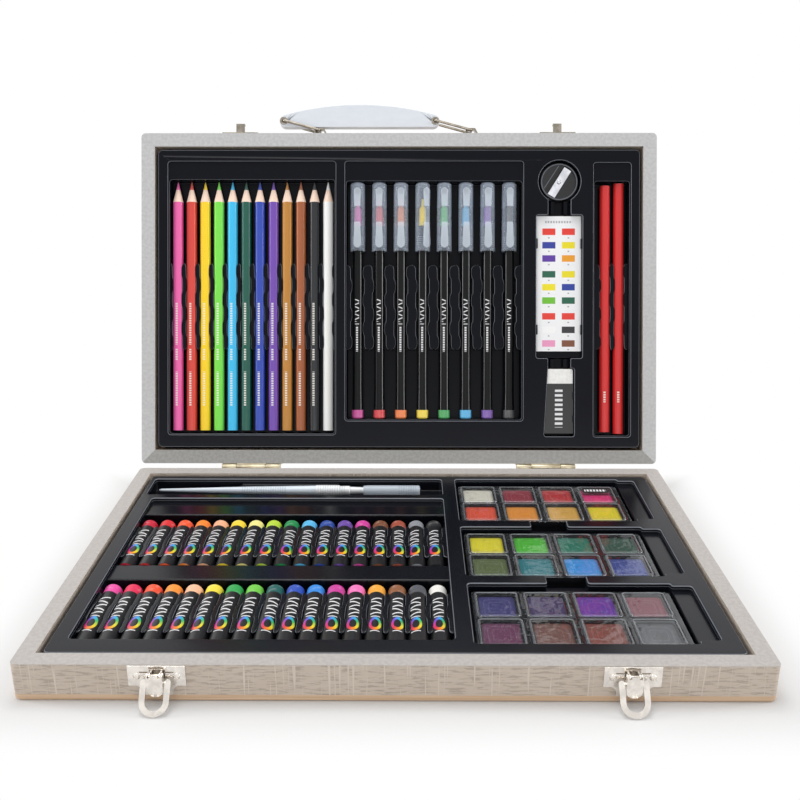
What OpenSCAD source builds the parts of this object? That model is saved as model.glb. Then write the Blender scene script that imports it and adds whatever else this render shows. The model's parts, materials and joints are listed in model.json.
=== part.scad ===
// Hinged wooden art case, lid standing open, with moulded trays and their drawing and painting contents.
// Base frame: X to the right, Y towards the hinges, Z up, origin at the centre of the base's underside.

/* [Case] */
// Width of the case, left to right
case_w = 360; // [350:1:400]
// Depth of the case, front to hinges
case_d = 231; // [229:1:260]
// Height of each half, from its outer face to its rim
half_h = 20; // [19.5:0.5:24]
// Width of the wooden rails
rail_t = 9.3; // [7:0.1:11]
// Thickness of the outer panels
panel_t = 3.5; // [2.5:0.1:4]
// Radius of the upright corners
corner_r = 3; // [1:0.5:6]
// Rounding of the panels' outer edges
panel_edge_r = 1.2; // [0.6:0.1:2]
// How far the lid stands open
open_angle = 108.7; // [95:0.1:125]
// Gap between the two rims when the case is shut
rim_gap = 0.5; // [0.3:0.1:1]

/* [Trays] */
// Wall thickness of the pressed trays
tray_t = 0.8; // [0.5:0.1:1.2]
// Drop from the rim to the top of a tray
tray_drop = 1.1; // [0.8:0.1:2]
// Gap between a tray and the rails
tray_gap = 2; // [1:0.1:3]
// Clearance of the tray's foot to the rails
foot_gap = 0.3; // [0.2:0.1:0.6]
// Corner radius of the trays
tray_r = 3; // [2:0.5:6]
// Corner radius of the pits
pit_r = 2; // [1:0.5:3]
// Depth of the shallow bays round the pits
bay_depth = 1.6; // [1:0.1:2.5]
// Margin of a bay round its pit
bay_rim = 0.8; // [0.5:0.1:2]
// Clearance under and round everything that lies in a tray
seat_gap = 0.3; // [0.2:0.05:0.5]

/* [Coloured pencils] */
// Number of coloured pencils
pencil_n = 12; // [6:1:12]
// Diameter of a pencil
pencil_d = 7.2; // [6.5:0.1:7.6]
// Length of a sharpened pencil
pencil_l = 175.5; // [160:0.5:176]
// Spacing of the coloured pencils
pencil_pitch = 9.67; // [9:0.01:9.8]
// Length of the sharpened cone
pencil_cone = 14; // [10:0.5:18]
// Length of bare lead at the tip
lead_tip = 5.5; // [3:0.5:7]
// Diameter of the lead
lead_d = 3; // [2:0.1:3.4]

/* [Drawing pencils] */
// Number of unsharpened drawing pencils
graphite_n = 2; // [1:1:2]
// Length of a drawing pencil
graphite_l = 175; // [160:0.5:176]
// Diameter of the graphite core
graphite_lead_d = 2.2; // [1.8:0.1:2.6]

/* [Pens] */
// Number of pens
pen_n = 8; // [4:1:8]
// Spacing of the pens
pen_pitch = 15.3; // [14:0.1:15.6]
// Diameter of a pen's barrel
pen_d = 7; // [6:0.1:8]
// Length of a capped pen
pen_l = 166.2; // [150:0.1:167]
// Diameter of the cap
cap_d = 10.6; // [9.6:0.1:11.2]
// Length of the cap
cap_l = 48; // [40:0.5:52]
// Wall of the cap
cap_t = 0.7; // [0.5:0.1:1]
// Length of the coloured end plug
plug_l = 6; // [4:0.5:9]
// Diameter of the coloured end plug
plug_d = 8.2; // [7.4:0.1:9]

/* [Crayons] */
// Number of crayons in a row
crayon_n = 17; // [8:1:17]
// Diameter of a wrapped crayon
crayon_d = 10.2; // [9:0.1:10.4]
// Length of a crayon
crayon_l = 56.5; // [50:0.5:57]
// Spacing of the crayons
crayon_pitch = 11.08; // [10.9:0.02:11.2]
// Bare length at the tip
crayon_tip = 9; // [5:0.5:14]
// Thickness of the paper wrapper
paper_t = 0.15; // [0.1:0.05:0.3]

/* [Palettes] */
// Width of a palette
palette_w = 106.5; // [100:0.5:107]
// Depth of a palette, front to back
palette_l = 52.5; // [48:0.5:53]
// Height of a palette's base
palette_h = 5.6; // [4:0.1:6]
// Height of a palette's clear cover
cover_h = 1.3; // [1:0.1:2]
// Width of a paint pan
pan_w = 19.3; // [16:0.1:20]
// Depth of a paint pan, front to back
pan_l = 20.4; // [16:0.1:21]
// Spacing of the pans across a palette
pan_pitch = 26.2; // [24:0.1:26.4]
// Spacing of the two rows of pans
pan_row = 25.9; // [24:0.1:26]
// Width of the finger strip beside a palette
strip_w = 10.9; // [8:0.1:12]

/* [Brush] */
// Length of the brush with its cap on
brush_l = 176; // [160:1:180]
// Largest diameter of the brush
brush_d = 7; // [6:0.1:7.6]

/* [Small things] */
// Diameter of the round sharpener
sharpener_d = 26; // [22:0.5:27]
// Height of the sharpener
sharpener_h = 8.4; // [7:0.1:9]
// Tilt of the sharpener's blade
blade_tilt = 32; // [0:1:60]
// Width of the colour chart
chart_w = 31.6; // [28:0.1:32]
// Length of the colour chart
chart_l = 95; // [85:0.5:98]
// Thickness of the colour chart's card
chart_t = 1; // [0.5:0.1:1.5]
// Width of the eraser's sleeve
eraser_w = 20.2; // [16:0.1:20.4]
// Length of the eraser
eraser_l = 45.3; // [35:0.1:46]
// Length of the sleeve on the eraser
sleeve_l = 35; // [25:0.5:38]
// Thickness of the sleeved eraser
eraser_t = 9.8; // [7:0.1:10]

/* [Hinges] */
// Distance of each hinge from the case's centre
hinge_x = 103; // [90:1:112]
// Length of a hinge
hinge_l = 41; // [30:1:50]
// Height of a hinge leaf
leaf_h = 13; // [10:0.5:15]
// Thickness of a hinge leaf
leaf_t = 1; // [0.8:0.1:1.2]
// Diameter of the hinge barrel
barrel_d = 3.6; // [3.4:0.1:4]
// Diameter of the hinge pin
hinge_pin_d = 2; // [1.6:0.1:2.2]
// Distance of the hinge axis behind the case's back
hinge_out = 2.2; // [2.2:0.1:3]

/* [Latches] */
// Distance of each latch from the case's centre
latch_x = 111; // [100:1:120]
// Width of the latch plate's wings
plate_w = 27.2; // [25:0.1:32]
// Width of the latch plate's neck
neck_w = 14.7; // [14.4:0.1:16]
// Thickness of the latch's sheet metal
sheet_t = 0.8; // [0.6:0.1:1]
// Height of the lever's axle above the base's underside
axle_z = 16.4; // [16:0.1:17]
// Width of the lever
lever_w = 7.6; // [7:0.1:8]
// Length of the lever below its axle
lever_l = 10.2; // [8:0.1:11]
// Distance from the lever's axle to the bail's pivot
bail_drop = 4; // [3.5:0.1:4.5]
// Length of the bail from its pivot to its end
bail_l = 15.5; // [15:0.1:16]
// Width of the bail's flat strip
bail_strip = 2.8; // [2:0.1:3]
// How far the strike's hook stands out
hook_out = 7.2; // [6.8:0.1:8]
// Width of the strike's hook
hook_w = 5.9; // [4:0.1:6]

/* [Handle] */
// Sideways offset of the handle
handle_shift = -2.4; // [-5:0.1:5]
// Distance between the two handle brackets
bracket_span = 106.8; // [90:0.2:120]
// Length of a handle link between its two bars
link_l = 26.3; // [22:0.1:28]
// Lean of the links above the rail when the handle lies down
link_lean = 15.2; // [15:0.1:20]
// Length of the grip beyond each eyelet
grip_end = 3.2; // [3:0.1:5]
// Thickness of the grip
grip_t = 6; // [4:0.1:6.2]

/* [Hidden] */
$fn = 48;
e = 0.01;             // overshoot of a cut through a face

// The case
inner_x = case_w / 2 - rail_t;                  // inner face of the side rails
inner_y = case_d / 2 - rail_t;                  // inner face of the front and back rails
hinge_y = case_d / 2 + hinge_out;               // hinge axis
hinge_z = half_h + rim_gap / 2;
rest_turn = 180 - open_angle;                   // lid at rest, turned up from lying fully open

// The trays: both halves are drawn lying open side up
tray_x = inner_x - tray_gap;
tray_y = inner_y - tray_gap;
tray_top = half_h - tray_drop;
bay_floor = tray_top - bay_depth;

// Crayon pits, sunk in one shallow bay
crayon_z = 11.7;                                // axis of the crayons
crayon_floor = crayon_z - crayon_d / 2 - seat_gap;
crayon_side = 0.6;                              // side clearance of a row
crayon_margin = 8.4;                            // band between the tray's edge and the pits
crayon_x0 = -tray_x + crayon_margin + crayon_side + crayon_d / 2;
crayon_bay_floor = tray_top - 3;
tail_gap = 0.5;                                 // behind the crayons' flat ends
front_pit_y = -tray_y + 11.9;
front_tip_gap = 4.9;
divider = 16.2;                                 // band between the two crayon pits
back_pit_y = front_pit_y + tail_gap + crayon_l + front_tip_gap + divider;
back_tip_gap = 7.7;
back_shelf = 18.3;                              // band between the back pit and the brush bay's ridge

// Palette bays, front to back
palette_gap_x = 1.7;
palette_bay_x1 = tray_x - 9.3;
palette_bay_x0 = palette_bay_x1 - strip_w - palette_w - 2 * palette_gap_x;
palette_bay_y = [for (s = [8.8, 73.8, 141.2]) -tray_y + s];
palette_bay_l = [for (s = [4.2, 6.4, 10]) palette_l + s];
palette_back_gap = [3.4, 2.8, 5];
palette_floor = 9.3;

// Brush bay
brush_bay_y0 = tray_y - 29.5;
brush_bay_y1 = tray_y - 4.8;
brush_y = brush_bay_y1 - 8.2;
brush_x0 = -tray_x + 7.4;
brush_floor = 10.4;
brush_z = brush_floor + seat_gap + brush_d / 2;
ledge_z = tray_top - 1.9;                       // shelf behind the middle of the brush
ledge_y0 = brush_y + brush_d / 2 + seat_gap;

// Lid bays: x across, y from the hinge edge
pencil_z = 11.2;                                // axis of pencils and pens
pencil_floor = pencil_z - pencil_d / 2 - seat_gap;
pencil_x0 = -tray_x + 12.4;
pencil_mid = case_d / 2 - 4.85;                 // middle of the pencils
pencil_y1 = pencil_mid + pencil_l / 2;          // pencil tips
pens_x0 = pencil_x0 + (pencil_n - 1) * pencil_pitch + 20.93;
pens_y1 = case_d - 33.4;
pen_floor = pencil_z - cap_d / 2 - seat_gap;
graphite_x0 = tray_x - 23.1;
graphite_y1 = pencil_mid - 1.15 + graphite_l / 2;
column_x = graphite_x0 - 33;                    // sharpener, chart and eraser
sharpener_y = case_d - 33.4;
chart_y0 = 78.9;
eraser_y0 = 21.1;

// Latch, measured outwards from the front face
axle_out = 3.4;
bail_out = 2.9;
bail_z = axle_z - bail_drop;
bail_t = 1;
bail_pin_d = 1.2;
axle_d = 1.2;
pin_fit = 0.05;                                 // radial clearance of pins that turn
floor_gap = 0.12;                               // the bail's tip over the table
bail_reach = norm([bail_l, bail_t / 2]);
bail_lean = acos((bail_z - floor_gap) / bail_reach) + atan(bail_t / 2 / bail_l);
bail_gap = 0.45;                                // bail legs to the lever
bail_w = lever_w + 2 * (bail_gap + bail_strip);
hook_t = 1;
hook_clear = 0.15;
bail_inner = lever_w / 2 + bail_gap;
hook_top = bail_z + bail_l - bail_w / 2 + sqrt(pow(bail_inner, 2) - pow(hook_w / 2, 2)) - hook_clear;
hook_drop = hook_top - half_h - rim_gap;        // from the lid's rim to the hook's bearing face

// Handle, measured outwards from the lid's front rail
bar_d = 1.8;
bar_out = 3.7;
strap_t = 0.8;
arch_out = bar_out + bar_d / 2 + 0.1 + strap_t;
strap_w = 6;
leg_z = strap_w / 2 + 0.5 + bar_d / 2;          // a link's legs beside its strap
grip_rise = link_l * sin(link_lean);
grip_back = link_l * cos(link_lean);

// Flat metal, plastics and papers
WOOD = [0.80, 0.77, 0.73];
BARE_WOOD = [0.82, 0.68, 0.55];
TRAY = [0.13, 0.13, 0.15];
BRASS = [0.80, 0.70, 0.48];
NICKEL = [0.80, 0.80, 0.80];
BLACK = [0.06, 0.06, 0.07];
CLEAR = [0.85, 0.90, 0.95, 0.45];
BARE_CEDAR = [0.90, 0.76, 0.58];
PENCIL_COLOURS = [
    [0.95, 0.35, 0.65], [0.85, 0.20, 0.18], [0.98, 0.80, 0.05], [0.40, 0.85, 0.30],
    [0.15, 0.65, 0.88], [0.02, 0.30, 0.24], [0.12, 0.22, 0.60], [0.38, 0.18, 0.58],
    [0.68, 0.42, 0.12], [0.58, 0.25, 0.12], [0.10, 0.10, 0.11], [0.92, 0.92, 0.92]
];
PEN_COLOURS = [
    [0.95, 0.10, 0.70], [0.88, 0.12, 0.15], [0.98, 0.50, 0.10], [0.98, 0.88, 0.05],
    [0.08, 0.60, 0.20], [0.20, 0.70, 0.90], [0.50, 0.15, 0.70], [0.06, 0.06, 0.07]
];
BACK_CRAYONS = [
    [0.80, 0.10, 0.30], [0.88, 0.15, 0.20], [0.98, 0.50, 0.10], [0.98, 0.50, 0.08], [0.98, 0.80, 0.65],
    [0.98, 0.85, 0.10], [0.98, 0.88, 0.35], [0.70, 0.88, 0.10], [0.05, 0.35, 0.25], [0.15, 0.60, 0.85],
    [0.12, 0.16, 0.50], [0.35, 0.25, 0.65], [0.85, 0.20, 0.60], [0.45, 0.25, 0.15], [0.55, 0.18, 0.12],
    [0.45, 0.45, 0.47], [0.08, 0.08, 0.09]
];
FRONT_CRAYONS = [
    [0.92, 0.35, 0.62], [0.88, 0.10, 0.30], [0.92, 0.28, 0.18], [0.98, 0.65, 0.12], [0.98, 0.80, 0.62],
    [0.98, 0.88, 0.10], [0.15, 0.62, 0.15], [0.20, 0.70, 0.20], [0.08, 0.30, 0.42], [0.15, 0.45, 0.85],
    [0.12, 0.35, 0.78], [0.80, 0.15, 0.50], [0.92, 0.45, 0.68], [0.95, 0.65, 0.15], [0.42, 0.24, 0.14],
    [0.16, 0.16, 0.18], [0.94, 0.94, 0.94]
];
PALETTE_COLOURS = [
    [[0.98, 0.25, 0.12], [0.98, 0.60, 0.12], [0.93, 0.75, 0.25], [0.98, 0.92, 0.05],
     [0.92, 0.90, 0.84], [0.62, 0.10, 0.20], [0.78, 0.12, 0.16], [0.92, 0.15, 0.50]],
    [[0.38, 0.45, 0.18], [0.05, 0.50, 0.55], [0.20, 0.60, 0.92], [0.20, 0.28, 0.62],
     [0.95, 0.92, 0.08], [0.35, 0.80, 0.12], [0.06, 0.50, 0.38], [0.16, 0.32, 0.24]],
    [[0.45, 0.16, 0.34], [0.50, 0.30, 0.26], [0.55, 0.25, 0.20], [0.25, 0.25, 0.27],
     [0.20, 0.18, 0.48], [0.24, 0.14, 0.38], [0.42, 0.16, 0.66], [0.48, 0.10, 0.18]]
];

// ---------------------------------------------------------------- shared forms

// Rectangle with round corners, as squares and true arcs
module rounded(x0, y0, x1, y1, r) {
    translate([x0 + r, y0]) square([x1 - x0 - 2 * r, y1 - y0]);
    translate([x0, y0 + r]) square([x1 - x0, y1 - y0 - 2 * r]);
    for (x = [x0 + r, x1 - r], y = [y0 + r, y1 - r]) translate([x, y]) circle(r);
}

module block(x0, y0, x1, y1, r, z0, z1) {
    translate([0, 0, z0]) linear_extrude(z1 - z0) rounded(x0, y0, x1, y1, r);
}

module rod_x(r, x0, x1) { translate([x0, 0, 0]) rotate([0, 90, 0]) cylinder(r = r, h = x1 - x0); }

module rod_y(r, y0, y1) { translate([0, y0, 0]) rotate([-90, 0, 0]) cylinder(r = r, h = y1 - y0); }

// Body turned about the Y axis, from a list of [radius, y]
module turned_y(profile) {
    rotate([-90, 0, 0]) rotate_extrude() polygon(concat([[0, profile[0][1]]], profile,
        [[0, profile[len(profile) - 1][1]]]));
}

// Countersunk cross-head screw standing on the XY plane, head up
module screw(head_d, head_h, shank_d, shank_l) {
    difference() {
        union() {
            cylinder(d1 = head_d, d2 = head_d * 0.6, h = head_h);
            translate([0, 0, -shank_l]) cylinder(d = shank_d, h = shank_l + e);
        }
        for (a = [0, 90]) rotate(a)
            translate([-head_d * 0.3, -0.25, head_h * 0.45]) cube([head_d * 0.6, 0.5, head_h]);
    }
}

// Lid pieces are drawn lying fully open: x across, y from the hinge edge, z from the outer face to the rim
module lid_place() {
    translate([0, hinge_y, hinge_z]) rotate([rest_turn, 0, 0]) translate([0, hinge_out, -hinge_z]) children();
}

// ---------------------------------------------------------------- wooden case

// The four mitred rails of one half, with the outline's centre at the origin
module rail(side) {
    x = case_w / 2;
    y = case_d / 2;
    in = case_d / 4;                             // the mitres run in past the rails' inner faces
    intersection() {
        difference() {
            block(-x, -y, x, y, corner_r, panel_t, half_h);
            translate([-inner_x, -inner_y, 0]) cube([2 * inner_x, 2 * inner_y, half_h + 1]);
        }
        mirror([side == "right" ? 1 : 0, side == "back" ? 1 : 0, 0])
            linear_extrude(half_h + 1)
                if (side == "front" || side == "back")
                    polygon([[-x, -y], [x, -y], [x - in, -y + in], [-x + in, -y + in]]);
                else
                    polygon([[-x, -y], [-x + in, -y + in], [-x + in, y - in], [-x, y]]);
    }
}

// Outer panel with a rounded outer edge
module panel() {
    x = case_w / 2;
    y = case_d / 2;
    r = panel_edge_r;
    cut = r * 0.3;                               // the arc's middle lies this far inside its corner
    block(-x, -y, x, y, corner_r, r, panel_t);
    hull() {
        block(-x, -y, x, y, corner_r, r, r + e, $fn = 32);
        block(-x + cut, -y + cut, x - cut, y - cut, corner_r, cut, cut + e, $fn = 32);
        block(-x + r, -y + r, x - r, y - r, corner_r, 0, e, $fn = 32);
    }
}

module base_rail_front() { color(WOOD) rail("front"); }
module base_rail_back() { color(WOOD) rail("back"); }
module base_rail_left() { color(WOOD) rail("left"); }
module base_rail_right() { color(WOOD) rail("right"); }
module base_panel() { color(BARE_WOOD) panel(); }

module lid_half() { lid_place() translate([0, case_d / 2, 0]) children(); }

// The lid's hinge edge is the back rail of its mirrored outline
module lid_rail_front() { color(WOOD) lid_half() rail("back"); }
module lid_rail_back() { color(WOOD) lid_half() rail("front"); }
module lid_rail_left() { color(WOOD) lid_half() rail("left"); }
module lid_rail_right() { color(WOOD) lid_half() rail("right"); }
module lid_panel() { color(BARE_WOOD) lid_half() panel(); }

// ---------------------------------------------------------------- pressed trays

// Raised plate with a skirt and a foot, hollow underneath, centred on the origin
module tray_plate() {
    difference() {
        union() {
            block(-tray_x, -tray_y, tray_x, tray_y, tray_r, panel_t, tray_top);
            block(-inner_x + foot_gap, -inner_y + foot_gap, inner_x - foot_gap, inner_y - foot_gap, tray_r / 2,
                panel_t, panel_t + tray_t);
        }
        block(-tray_x + tray_t, -tray_y + tray_t, tray_x - tray_t, tray_y - tray_t, tray_r - tray_t,
            panel_t - 1, tray_top - tray_t);
    }
}

// A pit is [x0, y0, x1, y1, corner radius, floor]
module pit_skin(p, top = tray_top) {
    block(p[0] - tray_t, p[1] - tray_t, p[2] + tray_t, p[3] + tray_t, p[4] + tray_t, p[5] - tray_t, top);
}

module pit_cut(p) { block(p[0], p[1], p[2], p[3], p[4], p[5], half_h + 1); }

// Wavy retaining rib: a band of even width with blunt ends that swings from side to side on a pit's floor
rib_steps = 12;
rib_end_w = 0.4;
function rib_half_w(w, t) = max(rib_end_w, w * sqrt(max(0, 1 - pow(abs(2 * t - 1), 8)))) / 2;
function rib_edge(w, l, swing, waves, side) = [
    for (i = [0 : rib_steps]) let (t = i / rib_steps)
        [side * rib_half_w(w, t) + swing * sin(360 * waves * t), t * l]
];
module rib(w, l, swing, waves, z0, z1) {
    right = rib_edge(w, l, swing, waves, 1);
    left = rib_edge(w, l, swing, waves, -1);
    translate([0, 0, z0]) linear_extrude(z1 - z0)
        polygon(concat(right, [for (i = [rib_steps : -1 : 0]) left[i]]));
}

// Ribs between round things that lie side by side, half ribs on the pit's sides, hollowed where the things lie
module ribs(pit, n, pitch, x0, y0, l, w, swing, waves, axis_z, d, top) {
    foot = pit[5] - tray_t / 2;
    room = (pitch - w) / 2;                      // from a thing's axis to the rib beside it
    x1 = x0 + (n - 1) * pitch;
    difference() {
        intersection() {
            union() {
                for (i = [0 : n - 2])
                    translate([x0 + (i + 0.5) * pitch, y0, 0]) rib(w, l, swing, waves, foot, top);
                translate([pit[0], y0, 0]) rib(2 * (x0 - pit[0] - room), l, swing, waves, foot, top);
                translate([pit[2], y0, 0]) rib(2 * (pit[2] - x1 - room), l, swing, waves, foot, top);
            }
            translate([pit[0] - tray_t / 2, y0, 0]) cube([pit[2] - pit[0] + tray_t, l, top]);
        }
        for (i = [0 : n - 1])
            translate([x0 + i * pitch, 0, axis_z]) rod_y(d / 2 + seat_gap, y0 - 1, y0 + l + 1);
    }
}

crayon_x1 = crayon_x0 + (crayon_n - 1) * crayon_pitch;
crayon_pit_x0 = crayon_x0 - crayon_d / 2 - crayon_side;
crayon_pit_x1 = crayon_x1 + crayon_d / 2 + 1.7;
function crayon_pit(y0, tip_gap) =
    [crayon_pit_x0, y0, crayon_pit_x1, y0 + tail_gap + crayon_l + tip_gap, pit_r, crayon_floor];
front_pit = crayon_pit(front_pit_y, front_tip_gap);
back_pit = crayon_pit(back_pit_y, back_tip_gap);
crayon_bay = [crayon_pit_x0, front_pit_y, crayon_pit_x1, back_pit[3] + back_shelf, pit_r, crayon_bay_floor];
front_tip_y = front_pit[3] - front_tip_gap;
back_tip_y = back_pit[3] - back_tip_gap;
crayon_rib_l = 38;
crayon_rib_y = 8.2;                              // rib's end behind the crayon's tip
crayon_rib_w = 3.2;
crayon_rib_top = crayon_z + 4;
rib_swing = 0.5;
crayon_rib_waves = 1.5;

brush_bay = [-tray_x + 3.2, brush_bay_y0, crayon_pit_x1, brush_bay_y1, pit_r, brush_floor];
notch_x0 = brush_x0 + 55.3;
notch_x1 = brush_x0 + 121.3;
brush_notch = [notch_x0, brush_bay_y0 + 1.5, notch_x1, ledge_y0 - tray_t, pit_r, brush_floor - 4];
module brush_ledge(grow, top) {
    block(notch_x0 - grow, ledge_y0 - grow, notch_x1 + grow, brush_bay_y1 + 2 * tray_t, pit_r, 0, top);
}

function palette_bay(i) = [palette_bay_x0, palette_bay_y[i], palette_bay_x1 - strip_w, palette_bay_y[i]
    + palette_bay_l[i], pit_r, palette_floor];
function palette_strip(i) = [palette_bay_x1 - strip_w - 2 * pit_r, palette_bay_y[i] + 3,
    palette_bay_x1, palette_bay_y[i] + palette_bay_l[i] - 2.5, pit_r, tray_top - 3];
palette_notch_x = palette_bay_x0 + 43.4;
palette_notch_w = 22;
palette_notch_floor = tray_top - 5;

module palette_notch(i, grow, floor_z) {
    translate([palette_notch_x - grow, palette_bay_y[i] + palette_bay_l[i] - 2 * pit_r, floor_z])
        cube([palette_notch_w + 2 * grow,
            palette_bay_y[i + 1] - palette_bay_y[i] - palette_bay_l[i] + 4 * pit_r, half_h + 1 - floor_z]);
}

module base_tray() {
    color(TRAY) {
        difference() {
            union() {
                tray_plate();
                pit_skin(crayon_bay);
                pit_skin(front_pit, crayon_bay_floor);
                pit_skin(back_pit, crayon_bay_floor);
                pit_skin(brush_bay);
                pit_skin(brush_notch, brush_floor);
                for (i = [0 : 2]) {
                    pit_skin(palette_bay(i));
                    pit_skin(palette_strip(i));
                }
                for (i = [0, 1]) intersection() {
                    palette_notch(i, tray_t, palette_notch_floor - tray_t);
                    block(-tray_x, -tray_y, tray_x, tray_y, tray_r, 0, tray_top);
                }
            }
            pit_cut(crayon_bay);
            pit_cut(front_pit);
            pit_cut(back_pit);
            difference() {
                pit_cut(brush_bay);
                brush_ledge(0, ledge_z);
            }
            brush_ledge(-tray_t, ledge_z - tray_t);
            pit_cut(brush_notch);
            for (i = [0 : 2]) {
                pit_cut(palette_bay(i));
                pit_cut(palette_strip(i));
            }
            for (i = [0, 1]) palette_notch(i, 0, palette_notch_floor);
        }
        for (pit = [front_pit, back_pit])
            ribs(pit, crayon_n, crayon_pitch, crayon_x0, pit[1] + tail_gap + crayon_l - crayon_rib_y - crayon_rib_l,
                crayon_rib_l, crayon_rib_w, rib_swing, crayon_rib_waves, crayon_z, crayon_d, crayon_rib_top);
    }
}

// Lid tray
pencil_x1 = pencil_x0 + (pencil_n - 1) * pencil_pitch;
pencil_bay_x0 = pencil_x0 - 5.4;
pencil_bay_x1 = pencil_x1 + 5.8;
bay_y1 = max(case_d - 19.4, pencil_y1 + 0.8 + bay_rim, graphite_y1 + 1 + bay_rim);
pencil_pit = [pencil_bay_x0 + bay_rim, pencil_y1 - pencil_l - 2.1, pencil_bay_x1 - bay_rim, pencil_y1 + 0.8,
    pit_r, pencil_floor];
pencil_bay = [pencil_bay_x0, pencil_pit[1] - bay_rim, pencil_bay_x1, bay_y1, pit_r, bay_floor];
pens_x1 = pens_x0 + (pen_n - 1) * pen_pitch;
pens_pit = [pens_x0 - 7.8, pens_y1 - pen_l - 0.8, pens_x1 + 8.4, pens_y1 + 0.6, pit_r, pen_floor];
pens_bay = [pens_pit[0] - bay_rim, pens_pit[1] - bay_rim, pens_pit[2] + bay_rim, bay_y1, pit_r, bay_floor];
graphite_x1 = graphite_x0 + (graphite_n - 1) * pencil_pitch;
graphite_pit = [graphite_x0 - 8.4, graphite_y1 - graphite_l - 1.3, graphite_x1 + 6.4, graphite_y1 + 1,
    pit_r, pencil_floor];
graphite_bay = [graphite_pit[0] - bay_rim, graphite_pit[1] - bay_rim, graphite_pit[2] + bay_rim, bay_y1 - 1,
    pit_r, bay_floor];
chart_floor = 13.6;
chart_z = chart_floor + seat_gap;
chart_side = 0.35;
chart_pit = [column_x - chart_w / 2 - chart_side, chart_y0 - 5, column_x + chart_w / 2 + chart_side,
    chart_y0 + chart_l + seat_gap, 1.5, chart_floor];
sharpener_floor = 8;
sharpener_well_d = sharpener_d + 3.6;
eraser_floor = 6.6;
eraser_pit = [column_x - eraser_w / 2 - 0.5, eraser_y0 - 2.1, column_x + eraser_w / 2 + 0.5,
    eraser_y0 + eraser_l + 0.4, 1.5, eraser_floor];
channel_w = 15.6;
channel_floor = 11;
channel_low = [column_x - channel_w / 2, eraser_pit[3] - 3, column_x + channel_w / 2, chart_pit[1] + 3,
    1, channel_floor];
channel_high = [column_x - channel_w / 2, chart_pit[3] - 3, column_x + channel_w / 2, sharpener_y,
    1, channel_floor];
long_rib_l = 61;
long_rib_y = 79.8;
long_rib_waves = 2.5;
pencil_rib_w = 3.8;
pencil_rib_top = pencil_z + 2.7;
pen_rib_w = 7;
pen_saddle = pencil_z - pen_d / 2 - seat_gap;    // raised floor that carries the barrels

// Snap bumps on a pit's side walls, lapping over what lies in it
module bumps(p, ys, l, lap, z0) {
    for (y = ys, x = [p[0] - tray_t / 2, p[2] - lap])
        translate([x, y, z0]) cube([lap + tray_t / 2, l, tray_top - z0 - 0.6]);
}

module lid_tray() {
    color(TRAY) lid_place() {
        difference() {
            union() {
                translate([0, case_d / 2, 0]) tray_plate();
                pit_skin(pencil_bay);
                pit_skin(pens_bay);
                pit_skin(graphite_bay);
                pit_skin(pencil_pit, bay_floor);
                pit_skin(pens_pit, bay_floor);
                pit_skin(graphite_pit, bay_floor);
                pit_skin(chart_pit);
                pit_skin(eraser_pit);
                pit_skin(channel_low);
                pit_skin(channel_high);
                translate([column_x, sharpener_y, sharpener_floor - tray_t])
                    cylinder(d = sharpener_well_d + 2 * tray_t, h = tray_top - sharpener_floor + tray_t);
            }
            pit_cut(pencil_bay);
            pit_cut(pens_bay);
            pit_cut(graphite_bay);
            pit_cut(pencil_pit);
            pit_cut(pens_pit);
            pit_cut(graphite_pit);
            pit_cut(chart_pit);
            pit_cut(eraser_pit);
            pit_cut(channel_low);
            pit_cut(channel_high);
            translate([column_x, sharpener_y, sharpener_floor]) cylinder(d = sharpener_well_d, h = half_h);
        }
        ribs(pencil_pit, pencil_n, pencil_pitch, pencil_x0, long_rib_y, long_rib_l, pencil_rib_w, rib_swing,
            long_rib_waves, pencil_z, pencil_d, pencil_rib_top);
        ribs(graphite_pit, graphite_n, pencil_pitch, graphite_x0, long_rib_y, long_rib_l, pencil_rib_w, rib_swing,
            long_rib_waves, pencil_z, pencil_d, pencil_rib_top);
        ribs(pens_pit, pen_n, pen_pitch, pens_x0, long_rib_y, long_rib_l - 1, pen_rib_w, rib_swing,
            long_rib_waves, pencil_z, pen_d, pencil_rib_top);
        difference() {
            translate([pens_pit[0] - tray_t / 2, long_rib_y, pen_floor - tray_t / 2])
                cube([pens_pit[2] - pens_pit[0] + tray_t, long_rib_l - 1, pen_saddle - pen_floor + tray_t / 2]);
            for (i = [0 : pen_n - 1])
                translate([pens_x0 + i * pen_pitch, 0, pencil_z])
                    rod_y(pen_d / 2 + seat_gap - e, long_rib_y - 1, long_rib_y + long_rib_l);
        }
        bumps(chart_pit, [chart_y0 + 11.6, chart_y0 + 72], 7, 1.1, chart_z + chart_t + seat_gap);
        bumps(eraser_pit, [eraser_y0 + 8, eraser_y0 + 24], 5, 1.1,
            eraser_floor + seat_gap + eraser_t + seat_gap / 2);
    }
}

// ---------------------------------------------------------------- contents of the base

module crayon_row(tip_y, colours) {
    r = crayon_d / 2 - paper_t;
    for (i = [0 : crayon_n - 1])
        color(colours[i]) translate([crayon_x0 + i * crayon_pitch, tip_y, crayon_z])
            turned_y([[r, -crayon_l], [r, -1.6], [r - 0.6, -0.6], [r - 1.6, 0]]);
}

module wrapper_row(tip_y) {
    color(BLACK) for (i = [0 : crayon_n - 1])
        translate([crayon_x0 + i * crayon_pitch, tip_y, crayon_z]) difference() {
            rod_y(crayon_d / 2, -crayon_l, -crayon_tip);
            rod_y(crayon_d / 2 - paper_t, -crayon_l - 1, 1);
        }
}

module crayon_sticks_back() { crayon_row(back_tip_y, BACK_CRAYONS); }
module crayon_wrappers_back() { wrapper_row(back_tip_y); }
module crayon_sticks_front() { crayon_row(front_tip_y, FRONT_CRAYONS); }
module crayon_wrappers_front() { wrapper_row(front_tip_y); }

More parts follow.
